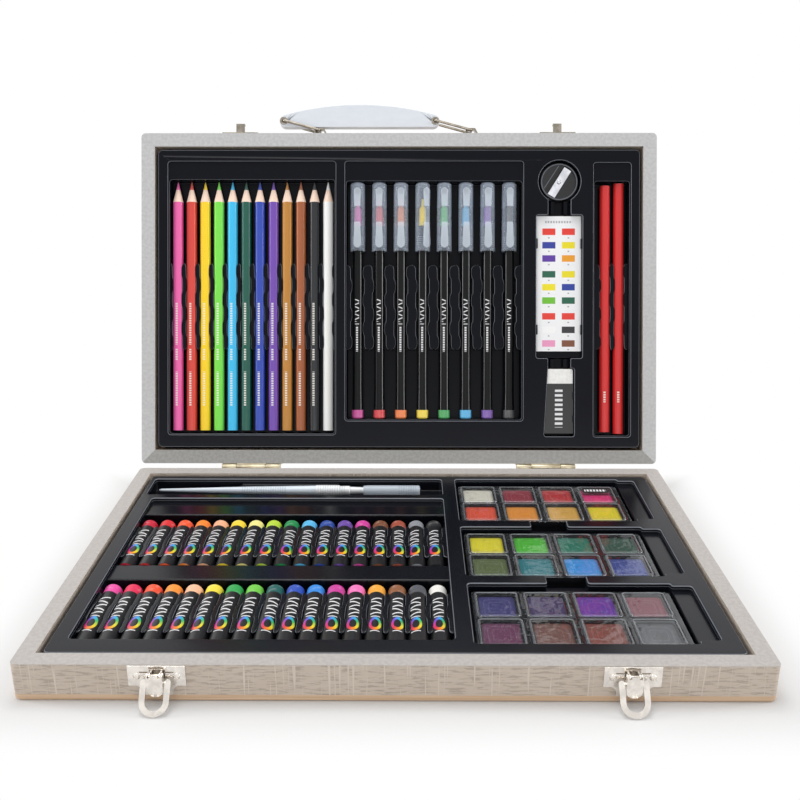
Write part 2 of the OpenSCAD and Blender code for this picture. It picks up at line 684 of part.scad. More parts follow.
// The brush lies along X, its thin end to the left
brush_handle_l = brush_l * 0.602;
brush_ferrule_l = brush_l * 0.182;
brush_cap_l = brush_l - brush_handle_l - brush_ferrule_l;
module brush_part(profile) {
    translate([brush_x0, brush_y, brush_z]) rotate([0, 0, -90]) turned_y(profile);
}

module brush_handle() {
    color(CLEAR) brush_part([[0.5, 0], [0.9, 1.5], [brush_d * 0.36, brush_handle_l * 0.6],
        [brush_d * 0.46, brush_handle_l]]);
}

module brush_ferrule() {
    grip = brush_d / 2;
    at = [for (share = [0, 0.5, 0.7, 0.72, 1]) brush_handle_l + brush_ferrule_l * share];
    color([0.9, 0.9, 0.9]) brush_part([[grip, at[0]], [grip, at[1]], [grip * 0.86, at[1]], [grip * 0.86, at[2]],
        [grip * 0.7, at[3]], [grip * 0.62, at[4]]]);
}

module brush_cap() {
    start = brush_handle_l + brush_ferrule_l;
    grip = brush_d / 2;
    color(CLEAR) brush_part([[grip * 0.9, start], [grip * 0.98, start + 3], [grip * 0.98, start + brush_cap_l - 1],
        [grip * 0.8, start + brush_cap_l]]);
}

// Palettes: base with eight wells, dry paint in each, one clear cover over all
palette_z = palette_floor + seat_gap;
pan_depth = 4.4;
paint_drop = 1;
pan_gap = 0.1;
palette_left = palette_bay_x0 + palette_gap_x;
function palette_y0(i) = palette_bay_y[i] + palette_bay_l[i] - palette_back_gap[i] - palette_l;
function pan_x(c) = palette_left + palette_w / 2 - 0.9 + (c - 1.5) * pan_pitch;
function pan_y(i, r) = palette_y0(i) + palette_l / 2 + (r - 0.5) * pan_row;

module pan_prism(i, c, r, grow, z0, z1) {
    block(pan_x(c) - pan_w / 2 - grow, pan_y(i, r) - pan_l / 2 - grow, pan_x(c) + pan_w / 2 + grow,
        pan_y(i, r) + pan_l / 2 + grow, 2, z0, z1);
}

module palette_prism(i, z0, z1) {
    block(palette_left, palette_y0(i), palette_left + palette_w, palette_y0(i) + palette_l, 2.5, z0, z1);
}

module palette_base(i) {
    color(TRAY) difference() {
        palette_prism(i, palette_z, palette_z + palette_h);
        for (c = [0 : 3], r = [0, 1])
            pan_prism(i, c, r, pan_gap, palette_z + palette_h - pan_depth, palette_z + palette_h + 1);
    }
}

module palette_paints(i) {
    for (c = [0 : 3], r = [0, 1])
        color(PALETTE_COLOURS[2 - i][c + 4 * r])
            pan_prism(i, c, r, 0, palette_z + palette_h - pan_depth, palette_z + palette_h - paint_drop);
}

module palette_cover(i) {
    z = palette_z + palette_h;
    color(CLEAR) difference() {
        palette_prism(i, z, z + cover_h);
        for (c = [0 : 3], r = [0, 1]) pan_prism(i, c, r, 1.6, z - 1, z + cover_h * 0.5);
    }
}

module palette_base_1() { palette_base(2); }
module palette_base_2() { palette_base(1); }
module palette_base_3() { palette_base(0); }
module palette_paints_1() { palette_paints(2); }
module palette_paints_2() { palette_paints(1); }
module palette_paints_3() { palette_paints(0); }
module palette_covers() { for (i = [0 : 2]) palette_cover(i); }

// ---------------------------------------------------------------- contents of the lid

module pencil_casings() {
    lid_place() for (i = [0 : pencil_n - 1])
        color(PENCIL_COLOURS[i]) translate([pencil_x0 + i * pencil_pitch, pencil_y1, pencil_z]) difference() {
            turned_y([[pencil_d / 2, -pencil_l], [pencil_d / 2, -pencil_cone], [lead_d / 2, -lead_tip]]);
            rod_y(lead_d / 2, -pencil_l - 1, 0);
        }
}

module pencil_leads() {
    lid_place() for (i = [0 : pencil_n - 1])
        color(PENCIL_COLOURS[i]) translate([pencil_x0 + i * pencil_pitch, pencil_y1, pencil_z])
            turned_y([[lead_d / 2, -pencil_l], [lead_d / 2, -lead_tip], [0.25, 0]]);
}

// The two drawing pencils differ a little in length
graphite_head = [-1.5, 0];
graphite_tail = [0, -1.2];
module graphite_rod(i, r, over) {
    lid_place() translate([graphite_x0 + i * pencil_pitch, graphite_y1, pencil_z])
        rod_y(r, graphite_tail[i] - graphite_l - over, graphite_head[i] + over);
}

module drawing_pencil_casings() {
    color([0.82, 0.14, 0.12]) for (i = [0 : graphite_n - 1]) difference() {
        graphite_rod(i, pencil_d / 2, 0);
        graphite_rod(i, graphite_lead_d / 2, 1);
    }
}

module drawing_pencil_leads() {
    color([0.2, 0.2, 0.22]) for (i = [0 : graphite_n - 1]) graphite_rod(i, graphite_lead_d / 2, 0);
}

// Pens: black barrel, ink collar and nib under a clear cap with a clip, coloured plug
pen_turn = [0, 0, 0, 26, 0, 0, 0, 0];
pen_neck_d = 5.4;
pen_hold = 8;                                    // barrel length inside the cap
collar_l = 12;
cap_bore = cap_d / 2 - cap_t;
clip_l = 42;
clip_gap = 0.7;
clip_t = 0.9;
module pen_place(i) {
    lid_place() translate([pens_x0 + i * pen_pitch, pens_y1, pencil_z]) rotate([0, pen_turn[i], 0]) children();
}

module pen_barrels() {
    color(BLACK) for (i = [0 : pen_n - 1]) pen_place(i)
        turned_y([[pen_d / 2 + 0.3, -pen_l + plug_l], [pen_d / 2, -pen_l + plug_l + 14],
            [pen_d / 2, -cap_l + pen_hold], [pen_neck_d / 2, -cap_l + pen_hold],
            [pen_neck_d / 2, -cap_l + pen_hold + 10]]);
}

module pen_nibs() {
    for (i = [0 : pen_n - 1]) color(PEN_COLOURS[i]) pen_place(i)
        turned_y([[pen_neck_d / 2, -cap_l + pen_hold + 10], [pen_neck_d / 2 - 0.3, -cap_l + pen_hold + 10 + collar_l],
            [1.1, -cap_l + pen_hold + 12 + collar_l], [0.8, -cap_l + pen_hold + 17 + collar_l]]);
}

module pen_caps() {
    color(CLEAR) for (i = [0 : pen_n - 1]) pen_place(i) {
        difference() {
            turned_y([[cap_d / 2, -cap_l], [cap_d / 2 - 0.2, -1], [cap_d / 2 - 1, 0]]);
            turned_y([[cap_bore, -cap_l - 1], [cap_bore, -cap_l + 2], [cap_bore - 0.2, -cap_t - 1],
                [cap_bore - 1, -cap_t - 0.4]]);
        }
        // inner ring that grips the barrel
        difference() {
            rod_y(cap_bore + 0.1, -cap_l + 2, -cap_l + 4);
            rod_y(pen_d / 2 + pin_fit, -cap_l + 1, -cap_l + 5);
        }
        // waisted clip, joined to the cap at its upper end
        translate([0, -4 - clip_l, cap_d / 2 + clip_gap]) linear_extrude(clip_t) {
            translate([0, 2.7]) circle(2.7);
            translate([0, clip_l - 2.4]) circle(2.4);
            polygon([[-2.7, 2.7], [-1.9, clip_l / 2], [-2.4, clip_l - 2.4], [2.4, clip_l - 2.4], [1.9, clip_l / 2],
                [2.7, 2.7]]);
        }
        translate([-1.8, -8.4, cap_d / 2 - 0.6]) cube([3.6, 4, clip_gap + 0.7]);
    }
}

module pen_plugs() {
    for (i = [0 : pen_n - 1]) color(PEN_COLOURS[i]) pen_place(i)
        turned_y([[plug_d / 2 - 0.6, -pen_l], [plug_d / 2, -pen_l + 0.8], [plug_d / 2, -pen_l + plug_l]]);
}

// Round sharpener: rimmed disc with a slanting blade seat, a half-round guard and the pencil hole
blade_l = 22;
blade_w = 5.6;
blade_t = 0.6;
sharpener_z = sharpener_floor + seat_gap;
guard_h = 0.9;
module sharpener_place() {
    lid_place() translate([column_x, sharpener_y, sharpener_z]) rotate(-blade_tilt) children();
}

module sharpener_body() {
    r = sharpener_d / 2;
    dish = 1.4;
    color(BLACK) sharpener_place() difference() {
        union() {
            difference() {
                cylinder(d = sharpener_d, h = sharpener_h);
                translate([0, 0, sharpener_h - dish]) cylinder(r = r - 1.1, h = dish + 1);
            }
            intersection() {
                cylinder(r = r - 0.5, h = sharpener_h - dish + guard_h);
                translate([-r, -r, 1]) cube([r - blade_w / 2 - 0.6, 2 * r, sharpener_h]);
            }
        }
        // slit beside the edge of the blade, where the shavings come out
        translate([-blade_w / 2 - 0.5, -blade_l / 2 + 1, sharpener_h - dish - 2.4]) cube([2.2, blade_l - 3, 8]);
        // tapered hole for the pencil, in from the rim
        translate([0, -r - 1, sharpener_h / 2 - 0.4]) rotate([-90, 0, 0]) cylinder(r1 = 3.1, r2 = 0.8, h = blade_l);
        translate([0, 0, sharpener_h - dish - 2]) cylinder(d = 1.6, h = 4);
    }
}

module sharpener_blade() {
    color(NICKEL) sharpener_place() translate([0, 0, sharpener_h - 1.4]) difference() {
        translate([-blade_w / 2 + 0.4, -blade_l / 2, 0]) cube([blade_w, blade_l, blade_t]);
        translate([0, 0, -1]) cylinder(d = 1.8, h = 3);
    }
}

module sharpener_screw() {
    color(NICKEL) sharpener_place() translate([0, 0, sharpener_h - 1.4 + blade_t]) screw(3.2, 0.7, 1.6, 2.2);
}

module colour_chart() {
    color([0.95, 0.95, 0.96]) lid_place()
        block(column_x - chart_w / 2, chart_y0, column_x + chart_w / 2, chart_y0 + chart_l, 0.6,
            chart_z, chart_z + chart_t);
}

sleeve_t = 0.3;
module eraser_block() {
    z = eraser_floor + seat_gap;
    color([0.95, 0.95, 0.93]) lid_place()
        block(column_x - eraser_w / 2 + sleeve_t, eraser_y0 + 0.4, column_x + eraser_w / 2 - sleeve_t,
            eraser_y0 + eraser_l, 1.2, z + sleeve_t, z + eraser_t - sleeve_t);
}

module eraser_sleeve() {
    z = eraser_floor + seat_gap;
    color(BLACK) lid_place() difference() {
        translate([column_x - eraser_w / 2, eraser_y0, z]) cube([eraser_w, sleeve_l, eraser_t]);
        translate([column_x - eraser_w / 2 + sleeve_t, eraser_y0 - 1, z + sleeve_t])
            cube([eraser_w - 2 * sleeve_t, sleeve_l + 2, eraser_t - 2 * sleeve_t]);
    }
}

// ---------------------------------------------------------------- hinges

knuckle_gap = 0.3;
knuckle_l = hinge_l / 4;
leaf_clear = 0.3;
stop_l = 5;                                      // tongue that stops the lid against the lower leaf
stop_w = 14;
stop_gap = 0.1;

// One leaf against the face y = 0, below z = 0, with its barrel on the axis (hinge_out, rim_gap / 2)
module leaf_plate() {
    translate([-hinge_l / 2, 0, -leaf_h]) difference() {
        cube([hinge_l, leaf_t, leaf_h - 0.1]);
        for (x = [6, hinge_l / 2, hinge_l - 6])
            translate([x, -1, leaf_h * 0.4]) rotate([-90, 0, 0]) cylinder(d = 2, h = 4);
    }
}

module knuckle(x0, x1, bore_d) {
    translate([0, hinge_out, rim_gap / 2]) difference() {
        rod_x(barrel_d / 2, x0, x1);
        rod_x(bore_d / 2, x0 - 1, x1 + 1);
    }
}

module knuckle_clear(x0, x1) {
    translate([0, hinge_out, rim_gap / 2]) rod_x(barrel_d / 2 + leaf_clear, x0, x1);
}

module lower_leaf() {
    difference() {
        leaf_plate();
        knuckle_clear(-hinge_l / 4 - knuckle_gap / 2, hinge_l / 4 + knuckle_gap / 2);
        translate([0, hinge_out, rim_gap / 2]) rod_x(hinge_pin_d / 2, -hinge_l, hinge_l);
    }
    for (s = [-1, 1]) knuckle(s > 0 ? knuckle_l + knuckle_gap / 2 : -hinge_l / 2,
        s > 0 ? hinge_l / 2 : -knuckle_l - knuckle_gap / 2, hinge_pin_d);
}

// Drawn shut, with the lid's leaf above the rim gap
module upper_leaf() {
    translate([0, 0, rim_gap]) mirror([0, 0, 1]) {
        difference() {
            leaf_plate();
            for (x0 = [-hinge_l / 2 - 1, hinge_l / 4 - knuckle_gap / 2])
                knuckle_clear(x0, x0 + hinge_l / 4 + 1 + knuckle_gap / 2);
            translate([0, hinge_out, rim_gap / 2]) rod_x(hinge_pin_d / 2 + pin_fit, -hinge_l, hinge_l);
        }
        knuckle(-knuckle_l + knuckle_gap / 2, knuckle_l - knuckle_gap / 2, hinge_pin_d + 2 * pin_fit);
    }
}

module hinge_places() { for (s = [-1, 1]) translate([s * hinge_x, case_d / 2, half_h]) children(); }

module hinge_lower_leaves() { color(BRASS) hinge_places() lower_leaf(); }

// The shut leaf turned open with the lid, and the tongue that then lies on the lower leaf
module hinge_upper_leaves() {
    color(BRASS) hinge_places() {
        translate([0, hinge_out, rim_gap / 2]) rotate([-open_angle, 0, 0]) translate([0, -hinge_out, -rim_gap / 2])
            upper_leaf();
        difference() {
            translate([-stop_w / 2, leaf_t + stop_gap, rim_gap / 2 - stop_l]) cube([stop_w, 1, stop_l]);
            translate([0, hinge_out, rim_gap / 2]) rod_x(hinge_pin_d / 2 + pin_fit, -stop_w, stop_w);
        }
    }
}

module hinge_pins() {
    color(NICKEL) hinge_places() translate([0, hinge_out, rim_gap / 2])
        rod_x(hinge_pin_d / 2, -hinge_l / 2, hinge_l / 2);
}

module leaf_screws() {
    for (x = [6, hinge_l / 2, hinge_l - 6])
        translate([x - hinge_l / 2, leaf_t, -leaf_h * 0.6]) rotate([-90, 0, 0]) screw(3.2, 0.6, 1.9, leaf_t - 0.1);
}

module hinge_lower_screws() { color(BRASS) hinge_places() leaf_screws(); }

module hinge_upper_screws() {
    color(BRASS) hinge_places() translate([0, hinge_out, rim_gap / 2]) rotate([-open_angle, 0, 0])
        translate([0, -hinge_out, -rim_gap / 2 + rim_gap]) mirror([0, 0, 1]) leaf_screws();
}

// ---------------------------------------------------------------- latches

// Drawn at the latch's centre on the front face: x across, y outwards from the face, z up
module on_front(side) { translate([side * latch_x, -case_d / 2, 0]) mirror([0, 1, 0]) children(); }

plate_top = half_h - 0.2;
wing_z = 9;
neck_z = 4;
fillet_r = (plate_w - neck_w) / 4;
latch_screw_x = 9.35;
latch_screw_z = 14.2;
cheek_x = lever_w / 2 - sheet_t - 0.2;           // outer face of a cheek, inside the lever
cheek_r = 1.35;

module latch_plate() {
    rotate([90, 0, 0]) translate([0, 0, -sheet_t]) linear_extrude(sheet_t) difference() {
        union() {
            translate([-plate_w / 2, wing_z]) square([plate_w, plate_top - wing_z]);
            translate([-neck_w / 2, neck_z]) square([neck_w, plate_top - neck_z]);
            for (s = [-1, 1]) translate([s * (neck_w / 2 + fillet_r / 2), wing_z])
                square([fillet_r, 2 * fillet_r], center = true);
        }
        for (s = [-1, 1]) {
            translate([s * (neck_w / 2 + fillet_r), wing_z - fillet_r]) circle(fillet_r);
            translate([s * latch_screw_x, latch_screw_z]) circle(1);
            // slits where the cheeks were pressed out
            translate([s * (lever_w / 2 + 2.2) - 2, axle_z - 0.4]) square([4, 0.7]);
        }
        translate([-lever_w / 2 + 0.4, axle_z + 1.7]) square([lever_w - 0.8, 1]);
    }
    // two cheeks that carry the axle
    for (s = [-1, 1]) translate([s > 0 ? cheek_x - sheet_t : -cheek_x, 0, 0]) difference() {
        union() {
            translate([0, axle_out, axle_z]) rod_x(cheek_r, 0, sheet_t);
            translate([0, sheet_t - e, axle_z - cheek_r]) cube([sheet_t, axle_out - sheet_t + e, cheek_r + 0.6]);
        }
        translate([0, axle_out, axle_z]) rod_x(axle_d / 2, -1, 2);
    }
}

module latch_plates() { color(NICKEL) for (s = [-1, 1]) on_front(s) latch_plate(); }

module latch_axles() {
    color(NICKEL) for (s = [-1, 1]) on_front(s)
        translate([0, axle_out, axle_z]) rod_x(axle_d / 2, -lever_w / 2, lever_w / 2);
}

module latch_screws() {
    color(NICKEL) for (s = [-1, 1], x = [-latch_screw_x, latch_screw_x])
        on_front(s) translate([x, sheet_t, latch_screw_z]) rotate([-90, 0, 0]) screw(3.5, 0.8, 1.9, sheet_t - 0.1);
}

// Lever: front tongue with a round end and two ears on the axle
lever_out = axle_out + 1.5;                      // inner face of the tongue
lever_top = axle_z + 0.8;
module latch_lever() {
    difference() {
        union() {
            translate([0, lever_out, 0]) rotate([90, 0, 0]) translate([0, 0, -0.7]) linear_extrude(0.7) {
                translate([-lever_w / 2, axle_z - lever_l + lever_w / 2])
                    square([lever_w, lever_top - axle_z + lever_l - lever_w / 2]);
                translate([0, axle_z - lever_l + lever_w / 2]) circle(lever_w / 2);
            }
            for (s = [-1, 1]) translate([s > 0 ? lever_w / 2 - sheet_t : -lever_w / 2, 0, 0]) rotate([90, 0, 90])
                linear_extrude(sheet_t) {
                    translate([axle_out, axle_z]) circle(1.3);
                    translate([bail_out, bail_z]) circle(1.2);
                    polygon([[axle_out - 1.1, axle_z + 0.6], [axle_out, axle_z + 1.2], [lever_out + 0.3, lever_top],
                        [lever_out + 0.3, bail_z - 2.6], [bail_out, bail_z - 1.2], [bail_out - 1.1, bail_z]]);
                }
        }
        translate([0, axle_out, axle_z]) rod_x(axle_d / 2 + pin_fit, -lever_w, lever_w);
        translate([0, bail_out, bail_z]) rod_x(bail_pin_d / 2 + pin_fit, -lever_w, lever_w);
        // notches that let the tongue's top swing past the cheeks
        for (s = [-1, 1])
            translate([s > 0 ? cheek_x - sheet_t - 0.2 : -cheek_x - 0.2, lever_out - 1, axle_z - 0.15])
                cube([sheet_t + 0.4, 3, 2]);
    }
}

module latch_lever_left() { color(NICKEL) on_front(-1) latch_lever(); }
module latch_lever_right() { color(NICKEL) on_front(1) latch_lever(); }

// Bail: flat strip bent to a loop, leaning out so that its end rests on the table
module latch_bail() {
    leg = bail_l - bail_w / 2;
    translate([0, bail_out, bail_z]) rotate([bail_lean, 0, 0]) {
        rotate([90, 0, 0]) translate([0, 0, -bail_t / 2]) linear_extrude(bail_t) {
            difference() {
                translate([0, -leg]) circle(bail_w / 2);
                translate([0, -leg]) circle(bail_inner);
                translate([-bail_w, -leg]) square([2 * bail_w, bail_w]);
            }
            for (s = [-1, 1]) {
                translate([s * (bail_inner + bail_strip / 2) - bail_strip / 2, -leg]) square([bail_strip, leg]);
                translate([s * (bail_inner + bail_strip / 2), 0]) circle(bail_strip / 2);
            }
        }
        for (s = [-1, 1]) rod_x(bail_pin_d / 2, s > 0 ? lever_w / 2 - sheet_t - 0.1 : -bail_inner - 0.5,
            s > 0 ? bail_inner + 0.5 : -lever_w / 2 + sheet_t + 0.1);
    }
}

module latch_bail_left() { color(NICKEL) on_front(-1) latch_bail(); }
module latch_bail_right() { color(NICKEL) on_front(1) latch_bail(); }

// Strikes on the lid's front rail: x across, y outwards from the rail, z from the rim towards the panel
module on_lid_front(x) { lid_place() translate([x, case_d, half_h]) mirror([0, 0, 1]) children(); }

strike_w = 25;
strike_h = 12;
strike_z = 0.6;
strike_screw_x = 8.6;
lip_h = 2.6;
module strikes() {
    color(NICKEL) for (s = [-1, 1]) on_lid_front(s * latch_x) {
        difference() {
            translate([-strike_w / 2, 0, strike_z]) cube([strike_w, sheet_t, strike_h]);
            for (x = [-strike_screw_x, strike_screw_x]) translate([x, -1, strike_z + strike_h / 2])
                rotate([-90, 0, 0]) cylinder(r = 1, h = 4);
        }
        translate([-hook_w / 2, sheet_t - e, hook_drop - hook_t]) cube([hook_w, hook_out - sheet_t + e, hook_t]);
        translate([-hook_w / 2, hook_out - hook_t, hook_drop - hook_t]) cube([hook_w, hook_t, hook_t + lip_h]);
    }
}

module strike_screws() {
    color(NICKEL) for (s = [-1, 1], x = [-strike_screw_x, strike_screw_x])
        on_lid_front(s * latch_x) translate([x, sheet_t, strike_z + strike_h / 2]) rotate([-90, 0, 0])
            screw(3.2, 0.7, 1.9, sheet_t - 0.1);
}

// ---------------------------------------------------------------- handle

// Drawn on the lid's front rail: x across, y outwards from the rail, z from the panel to the rim
handle_z = half_h / 2;
module on_handle(x) { lid_place() translate([handle_shift + x, case_d, handle_z]) children(); }

strap_half = 10.5;                               // half length of a bracket
arch_top = 2.6;                                  // half length of the arch's top
arch_foot = 5;
bracket_screw_x = 7.8;
module bracket() {
    translate([0, 0, -strap_w / 2]) linear_extrude(strap_w) {
        for (s = [-1, 1]) scale_x(s) polygon([[strap_half, 0], [strap_half, strap_t], [arch_foot + 0.4, strap_t],
            [arch_top + 0.3, arch_out], [-e, arch_out], [-e, arch_out - strap_t], [arch_top - 0.3, arch_out - strap_t],
            [arch_foot - 0.4, 0]]);
    }
}
module scale_x(s) { mirror([s < 0 ? 1 : 0, 0]) children(); }

module handle_brackets() {
    color(NICKEL) for (s = [-1, 1]) on_handle(s * bracket_span / 2) difference() {
        bracket();
        for (x = [-bracket_screw_x, bracket_screw_x])
            translate([x, -1, 0]) rotate([-90, 0, 0]) cylinder(r = 0.95, h = 4);
    }
}

module handle_bracket_screws() {
    color(NICKEL) for (s = [-1, 1], x = [-bracket_screw_x, bracket_screw_x])
        on_handle(s * bracket_span / 2) translate([x, strap_t, 0]) rotate([-90, 0, 0])
            screw(3.2, 0.9, 1.8, strap_t - 0.1);
}

// Link: closed wire ring with a bar in the bracket, a bar in the grip's eyelet and a leg on each side
link_bend = 1.2;
module link() {
    r = bar_d / 2;
    translate([0, bar_out, 0]) rotate([0, 0, 90 - link_lean]) translate([0, link_l / 2, 0])
        for (end = [0, 1], side = [0, 1]) mirror([0, end, 0]) mirror([0, 0, side]) {
            translate([0, 0, leg_z]) rod_y(r, 0, link_l / 2 - link_bend);
            translate([0, link_l / 2, 0]) cylinder(r = r, h = leg_z - link_bend);
            translate([0, link_l / 2 - link_bend, leg_z - link_bend]) rotate([90, 0, 90])
                rotate_extrude(angle = 90) translate([link_bend, 0]) circle(r);
        }
}

module handle_link_left() { color(NICKEL) on_handle(-bracket_span / 2) link(); }
module handle_link_right() { color(NICKEL) on_handle(bracket_span / 2) link(); }

// Grip: flat-bottomed pad with an arched top and round ends, drawn about the middle of its eyelets
grip_half = bracket_span / 2 + grip_end;
grip_top = 11.5;
grip_bottom = -4.6;
grip_sag = 8.2;                                  // drop of the top arc at the ends
grip_steps = 24;
eyelet_d = 5.6;
eyelet_rim = 0.25;
eyelet_bore = 2.6;
grip_arc_r = (pow(grip_half, 2) + pow(grip_sag, 2)) / (2 * grip_sag);
function grip_edge(x) = grip_top - grip_arc_r + sqrt(pow(grip_arc_r, 2) - x * x);
grip_end_r = (grip_edge(grip_half - 4) - grip_bottom) / 2;
function grip_round(x, y, r, from) = [for (a = [15 : 15 : 165]) [x + r * cos(from + a), y + r * sin(from + a)]];
module grip_outline() {
    flat = grip_half - grip_end_r;
    end_y = grip_bottom + grip_end_r;
    polygon(concat(
        [for (i = [0 : grip_steps]) let (x = flat * (1 - 2 * i / grip_steps)) [x, grip_edge(x)]],
        grip_round(-flat, end_y, grip_end_r, 90), [[-flat, grip_bottom], [flat, grip_bottom]],
        grip_round(flat, end_y, grip_end_r, -90)));
}

module on_grip() { on_handle(-grip_back) translate([0, bar_out + grip_rise, 0]) children(); }

module handle_grip() {
    color([0.88, 0.89, 0.92]) on_grip() difference() {
        translate([0, 0, -grip_t / 2]) linear_extrude(grip_t) grip_outline();
        for (s = [-1, 1])
            translate([s * bracket_span / 2, 0, -grip_t]) cylinder(d = eyelet_bore + 0.8, h = 2 * grip_t);
    }
}

// Metal eyelets: a tube through the grip with a flat rim on each face
module handle_eyelets() {
    color(NICKEL) on_grip() for (s = [-1, 1]) translate([s * bracket_span / 2, 0, 0]) difference() {
        union() {
            translate([0, 0, -grip_t / 2]) cylinder(d = eyelet_bore + 0.8, h = grip_t);
            for (z = [-grip_t / 2 - eyelet_rim, grip_t / 2])
                translate([0, 0, z]) cylinder(d = eyelet_d, h = eyelet_rim);
        }
        translate([0, 0, -grip_t]) cylinder(d = eyelet_bore, h = 2 * grip_t);
    }
}

base_rail_front();
base_rail_back();
base_rail_left();
base_rail_right();
base_panel();
base_tray();
lid_rail_front();
lid_rail_back();
lid_rail_left();
lid_rail_right();
lid_panel();
lid_tray();
hinge_lower_leaves();
hinge_upper_leaves();
hinge_pins();
hinge_lower_screws();
hinge_upper_screws();
latch_plates();
latch_axles();
latch_screws();
latch_lever_left();
latch_lever_right();
latch_bail_left();
latch_bail_right();
strikes();
strike_screws();
handle_brackets();
handle_bracket_screws();
handle_link_left();
handle_link_right();
handle_grip();
handle_eyelets();
crayon_sticks_back();
crayon_wrappers_back();
crayon_sticks_front();
crayon_wrappers_front();
brush_handle();
brush_ferrule();
brush_cap();
palette_base_1();
palette_base_2();
palette_base_3();
palette_paints_1();
palette_paints_2();
palette_paints_3();
palette_covers();
pencil_casings();
pencil_leads();
drawing_pencil_casings();
drawing_pencil_leads();
pen_barrels();
pen_nibs();
pen_caps();
pen_plugs();
sharpener_body();
sharpener_blade();
sharpener_screw();
colour_chart();
eraser_block();
eraser_sleeve();
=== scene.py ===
import json
import math

import bmesh
import bpy
from mathutils import Matrix, Vector
from mathutils.geometry import tessellate_polygon


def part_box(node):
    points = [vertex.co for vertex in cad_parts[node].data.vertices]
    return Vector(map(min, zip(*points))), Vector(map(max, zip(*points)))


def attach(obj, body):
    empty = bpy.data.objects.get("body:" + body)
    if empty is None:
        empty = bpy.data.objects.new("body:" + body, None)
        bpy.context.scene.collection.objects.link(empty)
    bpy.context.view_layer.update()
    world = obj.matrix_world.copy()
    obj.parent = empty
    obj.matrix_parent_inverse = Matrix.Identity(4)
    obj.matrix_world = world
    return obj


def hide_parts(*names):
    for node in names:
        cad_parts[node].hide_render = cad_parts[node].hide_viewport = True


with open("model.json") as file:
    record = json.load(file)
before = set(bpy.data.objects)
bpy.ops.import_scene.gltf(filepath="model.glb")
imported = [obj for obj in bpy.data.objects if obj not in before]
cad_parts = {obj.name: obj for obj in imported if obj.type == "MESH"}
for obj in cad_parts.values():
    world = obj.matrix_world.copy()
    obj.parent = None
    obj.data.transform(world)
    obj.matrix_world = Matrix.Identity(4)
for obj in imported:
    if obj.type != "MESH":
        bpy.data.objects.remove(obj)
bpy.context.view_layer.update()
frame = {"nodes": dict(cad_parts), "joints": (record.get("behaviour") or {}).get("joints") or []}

MM = 0.001


# ---------------------------------------------------------------- shader maths
def tone(code):
    """The linear colour of a six-digit sRGB code."""
    parts = [int(code[i:i + 2], 16) / 255 for i in (0, 2, 4)]
    return tuple(p / 12.92 if p <= 0.04045 else ((p + 0.055) / 1.055) ** 2.4 for p in parts) + (1.0,)


class Value:
    """A socket of a finish; arithmetic on it adds Math nodes."""

    def __init__(self, finish, socket):
        self.finish, self.socket = finish, socket

    def math(self, operation, *operands):
        """A Math node on the operands given."""
        return self.finish.node("Math", {"operation": operation}, dict(enumerate(operands)))

    def __add__(self, other): return self.math("ADD", self, other)
    def __radd__(self, other): return self.math("ADD", other, self)
    def __sub__(self, other): return self.math("SUBTRACT", self, other)
    def __rsub__(self, other): return self.math("SUBTRACT", other, self)
    def __mul__(self, other): return self.math("MULTIPLY", self, other)
    def __rmul__(self, other): return self.math("MULTIPLY", other, self)
    def __truediv__(self, other): return self.math("DIVIDE", self, other)
    def __rtruediv__(self, other): return self.math("DIVIDE", other, self)
    def __lt__(self, other): return self.math("LESS_THAN", self, other)
    def __gt__(self, other): return self.math("GREATER_THAN", self, other)
    def __abs__(self): return self.math("ABSOLUTE", self)
    def __mod__(self, other): return self.math("FLOORED_MODULO", self, other)
    def floor(self): return self.math("FLOOR", self)
    def max(self, other): return self.math("MAXIMUM", self, other)
    def min(self, other): return self.math("MINIMUM", self, other)

    def rise(self, low, high):
        """0 below low, 1 above high, smooth between."""
        return self.finish.node("MapRange", {"interpolation_type": "SMOOTHSTEP"},
                                {0: self, 1: low, 2: high, 3: 0.0, 4: 1.0})

    def fall(self, low, high):
        return 1 - self.rise(low, high)

    def line(self, at, half_width, soft=0.15):
        """1 within half_width of the value at, 0 outside."""
        return abs(self - at).fall(half_width - soft / 2, half_width + soft / 2)


